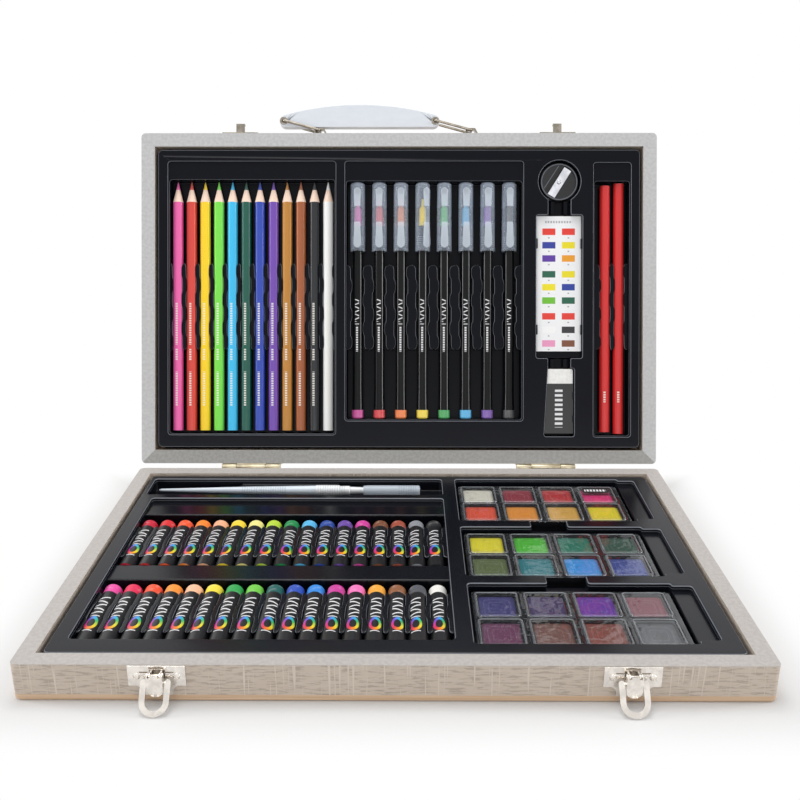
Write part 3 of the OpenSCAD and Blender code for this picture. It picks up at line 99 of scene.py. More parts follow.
class Finish:
    """One material, built from nodes."""

    def __init__(self, name, half="base"):
        self.material = bpy.data.materials.new(name)
        self.material.use_nodes = True
        self.tree = self.material.node_tree
        self.tree.nodes.clear()
        self.half = half

    def node(self, kind, settings=None, inputs=None, output=0):
        """A node of that kind: its settings first, then its sockets' values or links."""
        made = self.tree.nodes.new("ShaderNode" + kind)
        for name, setting in (settings or {}).items():
            if name == "stops":
                stops = made.color_ramp.elements
                while len(stops) < len(setting):
                    stops.new(1.0)
                for stop, (at, colour) in zip(stops, setting):
                    stop.position, stop.color = at, colour
            elif name == "ramp":
                made.color_ramp.interpolation = setting
            else:
                setattr(made, name, setting)
        for name, value in (inputs or {}).items():
            if isinstance(value, Value):
                self.tree.links.new(value.socket, made.inputs[name])
            else:
                made.inputs[name].default_value = value
        return Value(self, made.outputs[output]) if len(made.outputs) else None

    def spot(self):
        """x, y and z in millimetres in the frame of this finish's half, lying open side up."""
        at = self.node("TexCoord", output="Object")
        shift = (0, 0, 0)
        if self.half == "lid":
            at = self.node("VectorRotate", {"rotation_type": "X_AXIS"},
                           {"Vector": at, "Center": HINGE * MM, "Angle": -REST_TURN})
            shift = (0, HINGE.y + HINGE_OUT, 0)
        split = self.node("SeparateXYZ", inputs={0: at}).socket.node
        return [Value(self, split.outputs[i]) * 1000 - shift[i] for i in range(3)]

    def join(self, x, y, z):
        return self.node("CombineXYZ", inputs={0: x, 1: y, 2: z})

    def noise(self, at, scale=1.0, detail=2.0, roughness=0.5):
        return self.node("TexNoise", None, {"Vector": at, "Scale": scale, "Detail": detail,
                                            "Roughness": roughness}, "Fac")

    def mix(self, factor, first, second):
        """The first colour at factor 0, the second at 1."""
        return self.node("Mix", {"data_type": "RGBA"}, {0: factor, 6: first, 7: second}, 2)

    def ramp(self, value, *stops):
        return self.node("ValToRGB", {"stops": stops}, {0: value})

    def pick(self, index, colours):
        """The colour with that index, counted from 0."""
        stops = [(i / len(colours), tone(c)) for i, c in enumerate(colours)]
        return self.node("ValToRGB", {"ramp": "CONSTANT", "stops": stops}, {0: (index + 0.5) / len(colours)})

    def bump(self, height):
        """A normal from a height in millimetres."""
        return self.node("Bump", None, {"Height": height * MM, "Distance": 1.0, "Strength": 1.0})

    def surface(self, **sockets):
        """The Principled shader on the output; socket names are written with underscores."""
        shader = self.node("BsdfPrincipled", None, {k.replace("_", " "): v for k, v in sockets.items()})
        self.node("OutputMaterial", None, {"Surface": shader})
        return self.material


# ------------------------------------------------------------- the two halves
hinge_joint = next(j for j in frame["joints"] if j["name"] == "lid_hinge")
HINGE = Vector(hinge_joint["pos_m"]) / MM
OPEN_TURN = -math.radians(hinge_joint["range_deg"][0])
REST_TURN = math.pi - OPEN_TURN
HINGE_OUT = HINGE.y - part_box("base_rail_back")[1].y / MM
HALVES = {
    "base": Matrix.Identity(4),
    "lid": Matrix.Translation(HINGE) @ Matrix.Rotation(REST_TURN, 4, "X")
    @ Matrix.Translation((0, HINGE_OUT, -HINGE.z)),
}


def extent(node, half="base"):
    """Lowest and highest corner of a CAD node in a half's own frame, in millimetres."""
    back = HALVES[half].inverted()
    points = [back @ (v.co / MM) for v in frame["nodes"][node].data.vertices]
    return (Vector([min(p[i] for p in points) for i in range(3)]),
            Vector([max(p[i] for p in points) for i in range(3)]))


class Row:
    """Like round pieces side by side along x: their centres, tips and heights."""

    def __init__(self, node, count, half="base"):
        low, high = extent(node, half)
        self.count, self.d, self.half = count, high.z - low.z, half
        self.first = low.x + self.d / 2
        self.pitch = (high.x - low.x - self.d) / max(count - 1, 1)
        self.last = self.first + (count - 1) * self.pitch
        self.tip, self.end, self.z = high.y, low.y, (low.z + high.z) / 2

    def measure(self, finish):
        """Index, distance from the tip, distance sideways and angle from the top in turns."""
        x, y, z = finish.spot()
        index = ((x - self.first) / self.pitch + 0.5).floor()
        across = x - self.first - index * self.pitch
        around = across.math("ARCTAN2", across, z - self.z) / math.tau
        return index, self.tip - y, across, around


crayons_back = Row("crayon_sticks_back", 17)
crayons_front = Row("crayon_sticks_front", 17)
pencils = Row("pencil_casings", 12, "lid")
pencil_cores = Row("pencil_leads", 12, "lid")
drawing_pencils = Row("drawing_pencil_casings", 2, "lid")
pens = Row("pen_plugs", 8, "lid")
pens.tip, pens.z = extent("pen_barrels", "lid")[1].y, pencils.z
caps = Row("pen_plugs", 8, "lid")
caps.tip, caps.z = extent("pen_caps", "lid")[1].y, pencils.z

CASE_HALF_X, CASE_HALF_Y, RAIL_TOP = 180.0, 115.5, 20.0
MIDDLE_Y = {"base": 0.0, "lid": CASE_HALF_Y}
TRAY_TOP, TRAY_FOOT = 18.9, 4.3
TRAY_HALF_X, TRAY_HALF_Y, TRAY_GAP = 168.7, 104.2, 1.2
LID_RIBS_Y, LID_RIB_TOP = (79.8, 140.8), pencils.z + 2.7
COVER_PLATE, COVER_ROOF = 0.55, 1.28  # above the palettes' rims
CHART_X = 112.6
BLADE_LEAN = math.radians(33)


# -------------------------------------------------------------------- finishes
def washed_wood(name, half, along_x, rims, bare):
    """Foil-faced rails: greige linen weave outside, plain pale grey on the rim; inside, the tones given as
    bare, which paint shade on the bare wood (pale on the lid's back rail, as a painted highlight).
    """
    f = Finish(name, half)
    x, y, z = f.spot()
    along = x if along_x else y
    drift = f.noise(f.join(along * 0.05, z * 0.05, 0.0), 1.0, 2.0)
    stroke = f.noise(f.join(along * 0.12, z * 0.9, 3.0), 1.0, 3.0, 0.6)
    fine = f.noise(f.join(x * 0.5, y * 0.5, z * 5.0), 1.0, 3.0)
    thread = f.noise(f.join(along * 0.8, z * 0.02, 7.0), 1.0, 2.0)
    dark = stroke.rise(0.48, 0.62) * (1 - thread.rise(0.58, 0.64))
    linen = f.mix(drift, tone("b9ab9d"), tone("c3b6a9"))
    linen = f.mix(dark * 0.55, linen, tone("8d7f72"))
    linen = f.mix(thread.rise(0.6, 0.66) * 0.5, linen, tone("d3c8bc"))
    # inner faces: painted shade on bare wood, and a painted highlight on the lid's back rail
    inside = (abs(x) < TRAY_HALF_X + TRAY_GAP) * (abs(y - MIDDLE_Y[half]) < TRAY_HALF_Y + TRAY_GAP)
    linen = f.mix(inside, linen, f.mix(fine, tone(bare[0]), tone(bare[1])))
    rim = z.rise(RAIL_TOP - 0.25, RAIL_TOP - 0.08)
    colour = f.mix(rim, linen, f.mix(fine.rise(0.35, 0.65), tone(rims[0]), tone(rims[1])))
    return f.surface(Base_Color=colour, Roughness=0.5 + fine * 0.15, Normal=f.bump(fine * 0.02 - dark * 0.05))


def bare_panel(name, half):
    """Sanded tan board, its edge in fine layers."""
    f = Finish(name, half)
    x, y, z = f.spot()
    grain = f.noise(f.join(x * 0.02, y * 0.35, z * 1.5), 1.0, 4.0)
    layers = f.noise(f.join(x * 0.01, y * 0.01, z * 2.4), 1.0, 1.0).rise(0.45, 0.55)
    colour = f.mix(grain.rise(0.3, 0.7), tone("d2b79a"), tone("c2a283"))
    colour = f.mix(layers * 0.3, colour, tone("b69678"))
    return f.surface(Base_Color=colour, Roughness=0.6 + grain * 0.1, Normal=f.bump(grain * 0.04))


def tray_plastic(name, half, shine, *rib_rows):
    """Thermoformed black sheet, satin, with painted highlight lines along its lips and along the tops of its
    ribs.
    """
    f = Finish(name, half)
    x, y, z = f.spot()
    haze = f.noise(f.join(x * 0.03, y * 0.03, z * 0.03), 1.0, 2.0)
    skin = f.noise(f.join(x, y, z), 1.3, 2.0)
    # painted highlight: pale lines along the lip fillets and, in the loop below, along the rib tops
    painted_highlight = z.line(TRAY_TOP - 0.3, 0.22, 0.1).max(z.line(TRAY_TOP - 1.85, 0.12, 0.1)) * 0.75
    for row, top, y0, y1 in rib_rows:
        among = x.line((row.first + row.last) / 2, (row.last - row.first) / 2 + row.pitch * 0.62)
        among *= y.line((y0 + y1) / 2, (y1 - y0) / 2 + 0.5)
        painted_highlight = painted_highlight.max(z.line(top - 0.38, 0.22, 0.06) * among)
    colour = f.mix(haze, tone("0b0c12"), tone("0f1118"))
    colour = f.mix(painted_highlight, colour, tone("7c8088"))
    return f.surface(Base_Color=colour, Roughness=0.19 + skin * 0.07, Specular_IOR_Level=shine,
                     Normal=f.bump(skin * 0.006))


def metal(name, light, dark, rough):
    """Plated metal with fine scratches and a slight change of tone."""
    f = Finish(name)
    x, y, z = f.spot()
    cloud = f.noise(f.join(x * 0.2, y * 0.2, z * 0.2), 1.0, 3.0)
    scratch = f.noise(f.join(x * 0.6, y * 3.0, z * 3.0), 1.0, 3.0)
    colour = f.mix(cloud.rise(0.35, 0.65), tone(light), tone(dark))
    return f.surface(Base_Color=colour, Metallic=1.0, Roughness=rough + scratch * 0.15,
                     Normal=f.bump(scratch * 0.01))


def grip_plastic():
    f = Finish("grip_plastic", "lid")
    x, y, z = f.spot()
    haze = f.noise(f.join(x * 0.1, y * 0.3, z * 0.3), 1.0, 2.0)
    return f.surface(Base_Color=f.mix(haze, tone("dadfe5"), tone("d0d5dd")), Roughness=0.3 + haze * 0.1,
                     Normal=f.bump(haze * 0.05))


def crayon_wax(name, row, colours):
    """Wax sticks, one colour each, with soft rubbed streaks."""
    f = Finish(name)
    index, along, across, around = row.measure(f)
    rub = f.noise(f.join(along * 0.3, around * 9, index * 7.3), 1.0, 3.0)
    colour = f.pick(index, colours)
    colour = f.mix(rub.rise(0.5, 0.8) * 0.18, colour, tone("ffffff"))
    return f.surface(Base_Color=colour, Roughness=0.38 + rub * 0.2, Normal=f.bump(rub * 0.08))


RAINBOW = ["d02a8a", "6a50c8", "38a0e0", "3cb858", "e8dc30", "f08a20", "d83a4a", "d02a8a"]


def slanted_marks(along, across, pitch, reach):
    """Short strokes that lean to and fro, one in every pitch, up to reach on each side."""
    step = along / pitch
    lean = 1 - 2 * (step.floor() % 2)
    place = step - step.floor() - 0.5 + lean * across * (0.24 / reach)
    return abs(place).fall(0.11, 0.17) * abs(across).fall(reach - 0.15, reach)


def crayon_paper(name, row):
    """Black paper wrappers with slanted white marks, a rainbow ring and thin white lines."""
    f = Finish(name)
    index, along, across, around = row.measure(f)
    fibre = f.noise(f.join(along * 1.2, around * 40, index * 3.1), 1.0, 2.0)
    colour = f.mix(fibre, tone("121315"), tone("1b1c1f"))
    turn = f.noise(f.join(index * 3.7, 0.0, 0.0), 1.0, 0.0) * 5.0 - 2.5
    side = across + turn
    marks = slanted_marks(along, side, 3.5, 2.8) * along.line(23.0, 8.6, 0.1)
    ends = (along.line(33.0, 0.35).max(along.line(46.2, 0.35))) * abs(side).fall(2.3, 2.5)
    low, wide = (along - 39.6) / 4.8, side / 2.5
    ring = abs(low.math("SQRT", low * low + wide * wide) - 1).fall(0.2, 0.3)
    hue = low.math("ARCTAN2", low, wide) / math.tau + 0.5
    rainbow = f.ramp(hue, *[(i / (len(RAINBOW) - 1), tone(c)) for i, c in enumerate(RAINBOW)])
    colour = f.mix(marks.max(ends), colour, tone("e6e6e8"))
    colour = f.mix(ring, colour, rainbow)
    return f.surface(Base_Color=colour, Roughness=0.3 + fibre * 0.12, Normal=f.bump(fibre * 0.01))


def pencil_paint(name, row, colours, cone, *stripes):
    """Lacquered casings with a bare wooden cone and thin light stripes of dashes."""
    f = Finish(name, row.half)
    index, along, across, around = row.measure(f)
    wood = f.noise(f.join(along * 0.15, around * 14, index * 5.7), 1.0, 3.0)
    bare = f.mix(wood, tone("fbe6d8"), tone("f0ccb2"))
    paint = f.pick(index, colours)
    for middle, half in stripes:
        dash = (along % 1.7).line(0.8, 0.55, 0.2) * along.line(middle, half, 0.2)
        paint = f.mix(dash * around.line(-0.02, 0.035, 0.012) * 0.85, paint, tone("f0ece2"))
    colour = f.mix(along.rise(cone - 0.1, cone + 0.1), bare, paint)
    return f.surface(Base_Color=colour, Roughness=0.5 - along.rise(cone - 0.1, cone + 0.1) * 0.28,
                     Normal=f.bump(wood * 0.03))


def by_row(name, row, colours, rough):
    """A gloss finish with one colour for each piece of a row."""
    f = Finish(name, row.half)
    index, along, across, around = row.measure(f)
    haze = f.noise(f.join(along * 0.3, across * 0.6, index * 3.3), 1.0, 2.0)
    colour = f.mix(haze * 0.12, f.pick(index, colours), tone("ffffff"))
    return f.surface(Base_Color=colour, Roughness=rough + haze * 0.08, Normal=f.bump(haze * 0.02))


def plain(name, light, dark, rough, half="base"):
    """A plain moulded or painted surface with a soft change of tone."""
    f = Finish(name, half)
    x, y, z = f.spot()
    haze = f.noise(f.join(x, y, z), 0.5, 3.0)
    return f.surface(Base_Color=f.mix(haze.rise(0.3, 0.7), tone(light), tone(dark)),
                     Roughness=rough + haze * 0.1, Normal=f.bump(haze * 0.03))


def clear_film(name, pans):
    """Thin clear film with the gloss of its surface, painted highlight lines on the walls of its steps, a
    little paler on top, and a small plain label.
    """
    f = Finish(name)
    x, y, z = f.spot()
    haze = f.noise(f.join(x, y, z), 0.06, 3.0)
    gloss = f.node("LayerWeight", None, {"Blend": 0.33}, "Fresnel")
    strength = (gloss * 1.5 + haze.rise(0.55, 0.75) * 0.04).min(0.8)
    through = f.node("BsdfTransparent", None, {"Color": (0.95, 0.96, 0.97, 1)})
    shine = f.node("BsdfPrincipled", None, {"Base Color": tone("f2f5f8"), "Metallic": 0.9, "Roughness": 0.06,
                                            "Normal": f.bump(haze * 1.2)})
    film = f.node("MixShader", None, {0: strength, 1: through, 2: shine})
    plate = extent("palette_base_1")[1].z + COVER_PLATE
    # painted highlight: pale solid lines on the box walls, and everything near the roofs a little paler
    steps = z.line(plate + 0.28, 0.17, 0.06) * 0.45
    steps = steps.max(z.rise(plate + 0.66, plate + 0.7) * 0.16)
    label_x = pans.first.x + 3 * pans.pitch.x
    label_y = pans.first.y + pans.pitch.y + 6.0
    label = x.line(label_x, 8.6) * y.line(label_y, 3.6) * z.rise(plate + 0.3, plate + 0.4)
    dashes = (x % 2.1).line(1.05, 0.65, 0.3) * y.line(label_y, 1.5, 0.3) * x.line(label_x, 7.2)
    colour = f.mix(label, tone("d6dce2"), f.mix(dashes, tone("0c0c0e"), tone("e8e8ea")))
    solid = f.node("BsdfPrincipled", None, {"Base Color": colour, "Roughness": 0.3 + haze * 0.1})
    film = f.node("MixShader", None, {0: steps.max(label), 1: film, 2: solid})
    f.node("OutputMaterial", None, {"Surface": film})
    return f.material


def cap_plastic():
    """Clear bluish caps: milkier clips and fine rings at the open end."""
    f = Finish("clear_plastic_caps", "lid")
    index, along, across, around = caps.measure(f)
    x, y, z = f.spot()
    clip = (z - pens.z).rise(5.35, 5.6)
    rings = (along % 1.3).line(0.6, 0.2, 0.2) * along.line(42.5, 4.5, 0.2)
    haze = f.noise(f.join(x, y * 0.3, z), 0.5, 2.0)
    rim = f.node("LayerWeight", None, {"Blend": 0.4}, "Facing")
    band = along.line(22.5, 5.5, 1.0)
    glass = 0.1 + haze * 0.08 + rim * 0.5 + rings * 0.2 + along.fall(1.0, 2.5) * 0.25 - band * 0.06
    colour = f.mix(clip, tone("d0dcec"), tone("e2ebf5"))
    return f.surface(Base_Color=colour, Roughness=0.08 + haze * 0.05,
                     Alpha=glass.max(clip * (0.42 - band * 0.32)), Normal=f.bump(rings * 0.15))


def pen_gloss():
    """Black gloss barrels with plain white marks and dashes."""
    f = Finish("black_plastic", "lid")
    index, along, across, around = pens.measure(f)
    haze = f.noise(f.join(along * 0.2, across, index), 1.0, 2.0)
    side = across + 0.3
    marks = slanted_marks(along - 2.0, side, 2.6, 1.5) * along.line(60.0, 8.0, 0.1)
    dashes = (along % 1.7).line(0.8, 0.55, 0.2) * along.line(80.0, 9.0, 0.2) * abs(side).fall(0.6, 0.8)
    bar = along.line(69.5, 0.25, 0.1) * abs(side).fall(1.3, 1.5)
    colour = f.mix(marks.max(dashes).max(bar), tone("0e0f11"), tone("e8e8ea"))
    turned = f.node("LayerWeight", None, {"Blend": 0.5}, "Facing").rise(0.06, 0.3)
    satin = f.node("BsdfPrincipled", None, {"Base Color": colour, "Roughness": 0.3 + haze * 0.1,
                                            "Specular IOR Level": 0.15})
    gloss = f.node("BsdfPrincipled", None, {"Base Color": colour, "Roughness": 0.06 + haze * 0.05,
                                            "Specular IOR Level": 0.7})
    f.node("OutputMaterial", None, {"Surface": f.node("MixShader", None, {0: turned, 1: satin, 2: gloss})})
    return f.material


class Pans:
    """The eight pans of a palette, four across and two deep."""

    def __init__(self, node):
        low, high = extent(node)
        self.size = Vector((19.3, 20.4))
        self.first = low.xy + self.size / 2
        self.pitch = Vector(((high.x - low.x - self.size.x) / 3, high.y - low.y - self.size.y))

    def middles(self):
        return [(self.first.x + column * self.pitch.x, self.first.y + row * self.pitch.y)
                for row in (0, 1) for column in range(4)]


def paint_cake(name, pans, colours):
    """Dry paint, one colour a pan, with pressed steps round the middle and brush marks."""
    f = Finish(name)
    x, y, z = f.spot()
    column = ((x - pans.first.x) / pans.pitch.x + 0.5).floor()
    row = ((y - pans.first.y) / pans.pitch.y + 0.5).floor()
    u = (x - pans.first.x - column * pans.pitch.x) / (pans.size.x / 2)
    v = (y - pans.first.y - row * pans.pitch.y) / (pans.size.y / 2)
    out = u.math("POWER", (u * u).math("POWER", u * u, 3) + u.math("POWER", v * v, 3), 1 / 6)
    steps = out.line(0.72, 0.03, 0.06).max(out.line(0.46, 0.03, 0.06))
    brushed = f.noise(f.join(x * 2.2, y * 0.25, row), 1.0, 3.0)
    cloud = f.noise(f.join(x, y, 0.0), 0.22, 3.0)
    colour = f.pick(column + row * 4, colours)
    colour = f.mix(steps * 0.05 + brushed.rise(0.5, 0.7) * 0.07, colour, tone("ffffff"))
    colour = f.mix(cloud.rise(0.55, 0.75) * 0.25 + out.rise(0.88, 1.0) * 0.3, colour, tone("201c20"))
    height = steps * -0.12 + brushed * 0.12 - out.rise(0.85, 1.0) * 0.2
    return f.surface(Base_Color=colour, Roughness=0.45 + brushed * 0.2, Normal=f.bump(height))


SWATCHES = [(163.0, ("e83c30", "e83c30")), (153.5, ("2c3c9c", "f0e020")), (144.2, ("5c34a0", "f0a028")),
            (133.1, ("145c44", "f0e020")), (124.0, ("f4e420", "243c9c")), (114.6, ("70c030", "145c44")),
            (103.5, ("e83c30", "e83c30")), (94.0, ("fbfbfb", "26262a")), (84.4, ("ee9cc4", "7c4a30"))]


def swatch_card():
    """White card with nine rows of two printed swatches, a dot under each."""
    f = Finish("white_card", "lid")
    x, y, z = f.spot()
    fibre = f.noise(f.join(x, y, z), 2.0, 2.0)
    shade = abs(x - CHART_X).rise(14.2, 15.6)
    colour = f.mix(fibre * 0.3 + shade * 0.5, tone("fdfdfe"), tone("c9ccd2"))
    header = (x % 1.9).line(0.9, 0.6, 0.4) * x.line(CHART_X, 9.5) * y.line(169.8, 0.8, 0.3)
    colour = f.mix(header * 0.6, colour, tone("5a5c60"))
    for column, (low, high) in enumerate(((101.1, 110.3), (114.9, 124.0))):
        middle, half = (low + high) / 2, (high - low) / 2
        for at, inks in SWATCHES:
            patch = x.line(middle, half, 0.15) * y.line(at, 2.3, 0.15)
            colour = f.mix(patch, colour, tone(inks[column]))
            dot = x.line(middle, 0.6, 0.2) * y.line(at - 4.3, 0.45, 0.2)
            colour = f.mix(dot * 0.6, colour, tone("5a5c60"))
    return f.surface(Base_Color=colour, Roughness=0.4 + fibre * 0.1, Normal=f.bump(fibre * 0.01))


def sleeve_card():
    """Black card sleeve with a column of plain white bars."""
    f = Finish("sleeve_card", "lid")
    x, y, z = f.spot()
    low, high = extent("eraser_sleeve", "lid")
    fibre = f.noise(f.join(x, y, z), 1.5, 2.0)
    in_x, in_y = abs(x - (low.x + high.x) / 2), abs(y - (low.y + high.y) / 2)
    bars = (y % 3.3).line(1.65, 0.85, 0.2) * in_x.fall(2.6, 2.8) * in_y.fall(13.2, 13.4)
    colour = f.mix(bars, f.mix(fibre, tone("111113"), tone("18181a")), tone("e4e4e6"))
    return f.surface(Base_Color=colour, Roughness=0.35 + fibre * 0.1, Normal=f.bump(fibre * 0.01))


def sharpener_moulding():
    """Black disc with a painted highlight round its rim and along the edge of the raised half, and a painted
    shadow beside the blade.
    """
    f = Finish("sharpener_plastic", "lid")
    x, y, z = f.spot()
    low, high = extent("sharpener_body", "lid")
    from_x, from_y = x - (low.x + high.x) / 2, y - (low.y + high.y) / 2
    radius = (high.x - low.x) / 2
    out = x.math("SQRT", from_x * from_x + from_y * from_y)
    beside = from_x * math.cos(BLADE_LEAN) - from_y * math.sin(BLADE_LEAN)
    haze = f.noise(f.join(x, y, z), 0.5, 3.0)
    colour = f.mix(haze, tone("0e0f12"), tone("17181b"))
    # painted highlight along the raised half's edge, painted shadow beside the blade, painted highlight round
    # the rim
    colour = f.mix(beside.line(-6.4, 0.25) * out.fall(radius - 1.6, radius - 1.4), colour, tone("5c6068"))
    colour = f.mix(beside.line(-4.4, 1.0), colour, tone("020203"))
    colour = f.mix(out.line(radius - 0.7, 0.35), colour, tone("5c6068"))
    return f.surface(Base_Color=colour, Roughness=0.25 + haze * 0.1, Normal=f.bump(haze * 0.03))


def milky_plastic(name, tint, opacity, ring_from=0.0, ring_to=0.0):
    """Translucent moulded plastic along x, with fine rings between two places."""
    f = Finish(name)
    x, y, z = f.spot()
    haze = f.noise(f.join(x * 0.2, y, z), 0.6, 2.0)
    rings = (x % 1.6).line(0.8, 0.3, 0.2) * x.line((ring_from + ring_to) / 2, (ring_to - ring_from) / 2, 0.2)
    colour = f.mix(rings * 0.25, tone(tint), tone("9fb0c0"))
    return f.surface(Base_Color=colour, Roughness=0.2 + haze * 0.1, Alpha=opacity + haze * 0.1,
                     Normal=f.bump(rings * 0.2))


def dress(material, *nodes, bevel=0.0):
    """Gives CAD nodes a finish and, where bevel is set, rounded edges of that many millimetres."""
    for node in nodes:
        piece = frame["nodes"][node]
        piece.data.materials.clear()
        piece.data.materials.append(material)
        if bevel:
            weld = piece.modifiers.new("weld", "WELD")
            weld.merge_threshold = 1e-6
            edge = piece.modifiers.new("edge", "BEVEL")
            edge.width, edge.segments = bevel * MM, 2
            edge.limit_method, edge.angle_limit = "ANGLE", math.radians(35)
            edge.harden_normals = True


# each rail's two rim tones, then its two inside tones; the inside tones paint shade on the bare wood, and the
# lid's back rail has its rim tones darkened as painted shade and its inside tones pale as a painted highlight
BASE_RAILS = ("aca7a3", "b6b1ac"), ("3e352d", "302923")
LID_RAILS = ("b3b3b3", "bdbdbd"), ("6c5948", "5c4a3c")
LID_BACK_RAIL_SHADE_AND_HIGHLIGHT = ("908f8c", "9c9b98"), ("ece8e2", "ded9d0")
for half, tones, back_tones in (("base", BASE_RAILS, BASE_RAILS), ("lid", LID_RAILS, LID_BACK_RAIL_SHADE_AND_HIGHLIGHT)):
    dress(washed_wood(f"washed_wood_{half}_front", half, True, *tones), f"{half}_rail_front", bevel=0.35)
    dress(washed_wood(f"washed_wood_{half}_back", half, True, *back_tones), f"{half}_rail_back", bevel=0.35)
    dress(washed_wood(f"washed_wood_{half}_side", half, False, *tones),
          f"{half}_rail_left", f"{half}_rail_right", bevel=0.35)
    dress(bare_panel(f"bare_panel_{half}", half), f"{half}_panel")

brass = metal("pale_brass", "c9bfa6", "b3a78c", 0.3)
nickel = metal("nickel", "f0eae2", "dcd6cf", 0.12)
steel = metal("nickel_blade", "e2e3e8", "c6c8ce", 0.3)
dress(brass, "hinge_lower_leaves", "hinge_upper_leaves", "hinge_pins", "hinge_lower_screws",
      "hinge_upper_screws", bevel=0.12)
dress(nickel, "latch_plates", "latch_axles", "latch_screws", "latch_lever_left", "latch_lever_right",
      "latch_bail_left", "latch_bail_right", bevel=0.12)
dress(metal("aged_nickel", "a49c90", "8a8378", 0.22), "strikes", "strike_screws", "handle_brackets",
      "handle_bracket_screws", "handle_link_left", "handle_link_right", "handle_eyelets", bevel=0.12)
dress(grip_plastic(), "handle_grip", bevel=0.5)

BACK_WAX = ["c8203c", "d82c30", "f0582c", "f4862c", "f6b48c", "f6d83c", "f2e890", "b8d83c", "1f8a4c",
            "58b8e8", "2a4a9c", "6a48a0", "d0409c", "7a4a30", "a04c38", "8c9096", "2a2a2c"]
FRONT_WAX = ["e850a4", "e02c58", "f05432", "f49434", "f6bc98", "f4dc40", "30a050", "70c848", "1c5c58",
             "2c50b4", "3488dc", "c83c98", "ee74b8", "f0a838", "8c5a3a", "54565c", "eceae4"]
PENCIL_PAINT = ["ee64ac", "d8443a", "fcd41e", "78e04a", "3abef0", "0c5646",
                "2c48b0", "7248ae", "be8232", "a45a32", "1c1f23", "f0f0ee"]
PAINTS = [["ee5a32", "f2a030", "e6b44c", "f2e014", "ebe6d6", "9e2a3c", "c8282c", "ea2a80"],
          ["5e6e38", "148088", "38a0e6", "3a4c9c", "f0e418", "4ec424", "167c62", "2c5442"],
          ["703058", "7c5248", "8c4c40", "4c4c50", "3a3478", "402a60", "7034a8", "7e2238"]]
NIBS = ["f050c0", "f03c50", "fa8a3a", "ffe03a", "3cc864", "58c4f8", "9058c8", "3a3a40"]
INKS = ["c83c94", "d82c34", "f07c2c", "f4d83c", "2ca04c", "48b0e4", "7448a8", "2a2a2e"]

dress(crayon_wax("crayon_wax_back", crayons_back, BACK_WAX), "crayon_sticks_back")
dress(crayon_wax("crayon_wax_front", crayons_front, FRONT_WAX), "crayon_sticks_front")
dress(crayon_paper("black_paper_back", crayons_back), "crayon_wrappers_back")
dress(crayon_paper("black_paper_front", crayons_front), "crayon_wrappers_front")
dress(pencil_paint("painted_pencil", pencils, PENCIL_PAINT, 8.7, (94.5, 15), (116.5, 4), (140.5, 12)),
      "pencil_casings")
dress(by_row("pencil_lead", pencil_cores, PENCIL_PAINT, 0.4), "pencil_leads")
dress(pencil_paint("red_lacquer", drawing_pencils, ["d82c2c", "d82c2c"], 0.0, (150, 4)),
      "drawing_pencil_casings")
dress(plain("graphite", "4a4b50", "3c3d42", 0.35, half="lid"), "drawing_pencil_leads")
dress(by_row("ink_plastic_plugs", pens, INKS, 0.25), "pen_plugs")
dress(by_row("ink_plastic_nibs", pens, NIBS, 0.25), "pen_nibs")
dress(pen_gloss(), "pen_barrels")
dress(cap_plastic(), "pen_caps")
dress(milky_plastic("clear_plastic_handle", "e6eff8", 0.82, -105, -75), "brush_handle")
dress(milky_plastic("white_plastic", "eef0f2", 1.0, -55, -36), "brush_ferrule")
dress(milky_plastic("clear_plastic_cap", "dce6f0", 0.55, 0, 12), "brush_cap")
dress(plain("palette_plastic", "0f1013", "16171a", 0.2), "palette_base_1", "palette_base_2", "palette_base_3")
palettes = [Pans(f"palette_paints_{i}") for i in (1, 2, 3)]
for i, (pans, colours) in enumerate(zip(palettes, PAINTS)):
    dress(paint_cake(f"paint_{i + 1}", pans, colours), f"palette_paints_{i + 1}")
dress(swatch_card(), "colour_chart")
dress(plain("eraser_rubber", "fbfbf8", "f2f1ed", 0.7, half="lid"), "eraser_block")
dress(sleeve_card(), "eraser_sleeve")
dress(sharpener_moulding(), "sharpener_body", bevel=0.3)
dress(steel, "sharpener_blade", "sharpener_screw", bevel=0.1)


# --------------------------------------------------------------- pressed sheets
def rounded_corner(before, here, after, r, grow=0.0, steps=5):
    """Points round a corner; grow moves them off to the right of the way."""
    back, on = (before - here).normalized(), (after - here).normalized()
    side = 1 if back.cross(on) < 0 else -1
    half = back.angle(on) / 2
    into = (back + on).normalized()
    if not r:
        return [here - into * side * grow / math.sin(half)]
    centre = here + into * (r / math.sin(half))
    start = (here + back * (r / math.tan(half)) - centre).normalized()
    end = (here + on * (r / math.tan(half)) - centre).normalized()
    reach = max(r + side * grow, 0.02)
    return [centre + reach * start.slerp(end, k / steps) for k in range(steps + 1)]


def rounded_path(*corners):
    """An open path of (y, height, radius) corners with its corners rounded."""
    spots = [Vector(c[:2]) for c in corners]
    inner = [p for i in range(1, len(spots) - 1)
             for p in rounded_corner(*spots[i - 1:i + 2], corners[i][2], steps=4)]
    return [spots[0]] + inner + [spots[-1]]


def rectangle(x0, y0, x1, y1, r):
    return [(x0, y0, r), (x1, y0, r), (x1, y1, r), (x0, y1, r)]


def pressed(top, floor, lip=0.8, foot=0.6, draft=0.25, steps=4):
    """The profile of a pit's wall, from its rounded lip down to its rounded foot."""
    turns = [math.pi / 2 * k / steps for k in range(steps + 1)]
    return ([(lip - lip * math.sin(a), top - lip + lip * math.cos(a)) for a in turns]
            + [(foot * (math.cos(a) - 1) - draft, floor + foot - foot * math.sin(a)) for a in turns])


def raised(floor, top, lip=0.8, steps=4):
    """The profile of a raised block's wall, from its foot up over its rounded lip."""
    turns = [math.pi / 2 * k / steps for k in range(steps + 1)]
    return [(0.0, floor)] + [(lip * (math.cos(a) - 1), top - lip + lip * math.sin(a)) for a in turns]


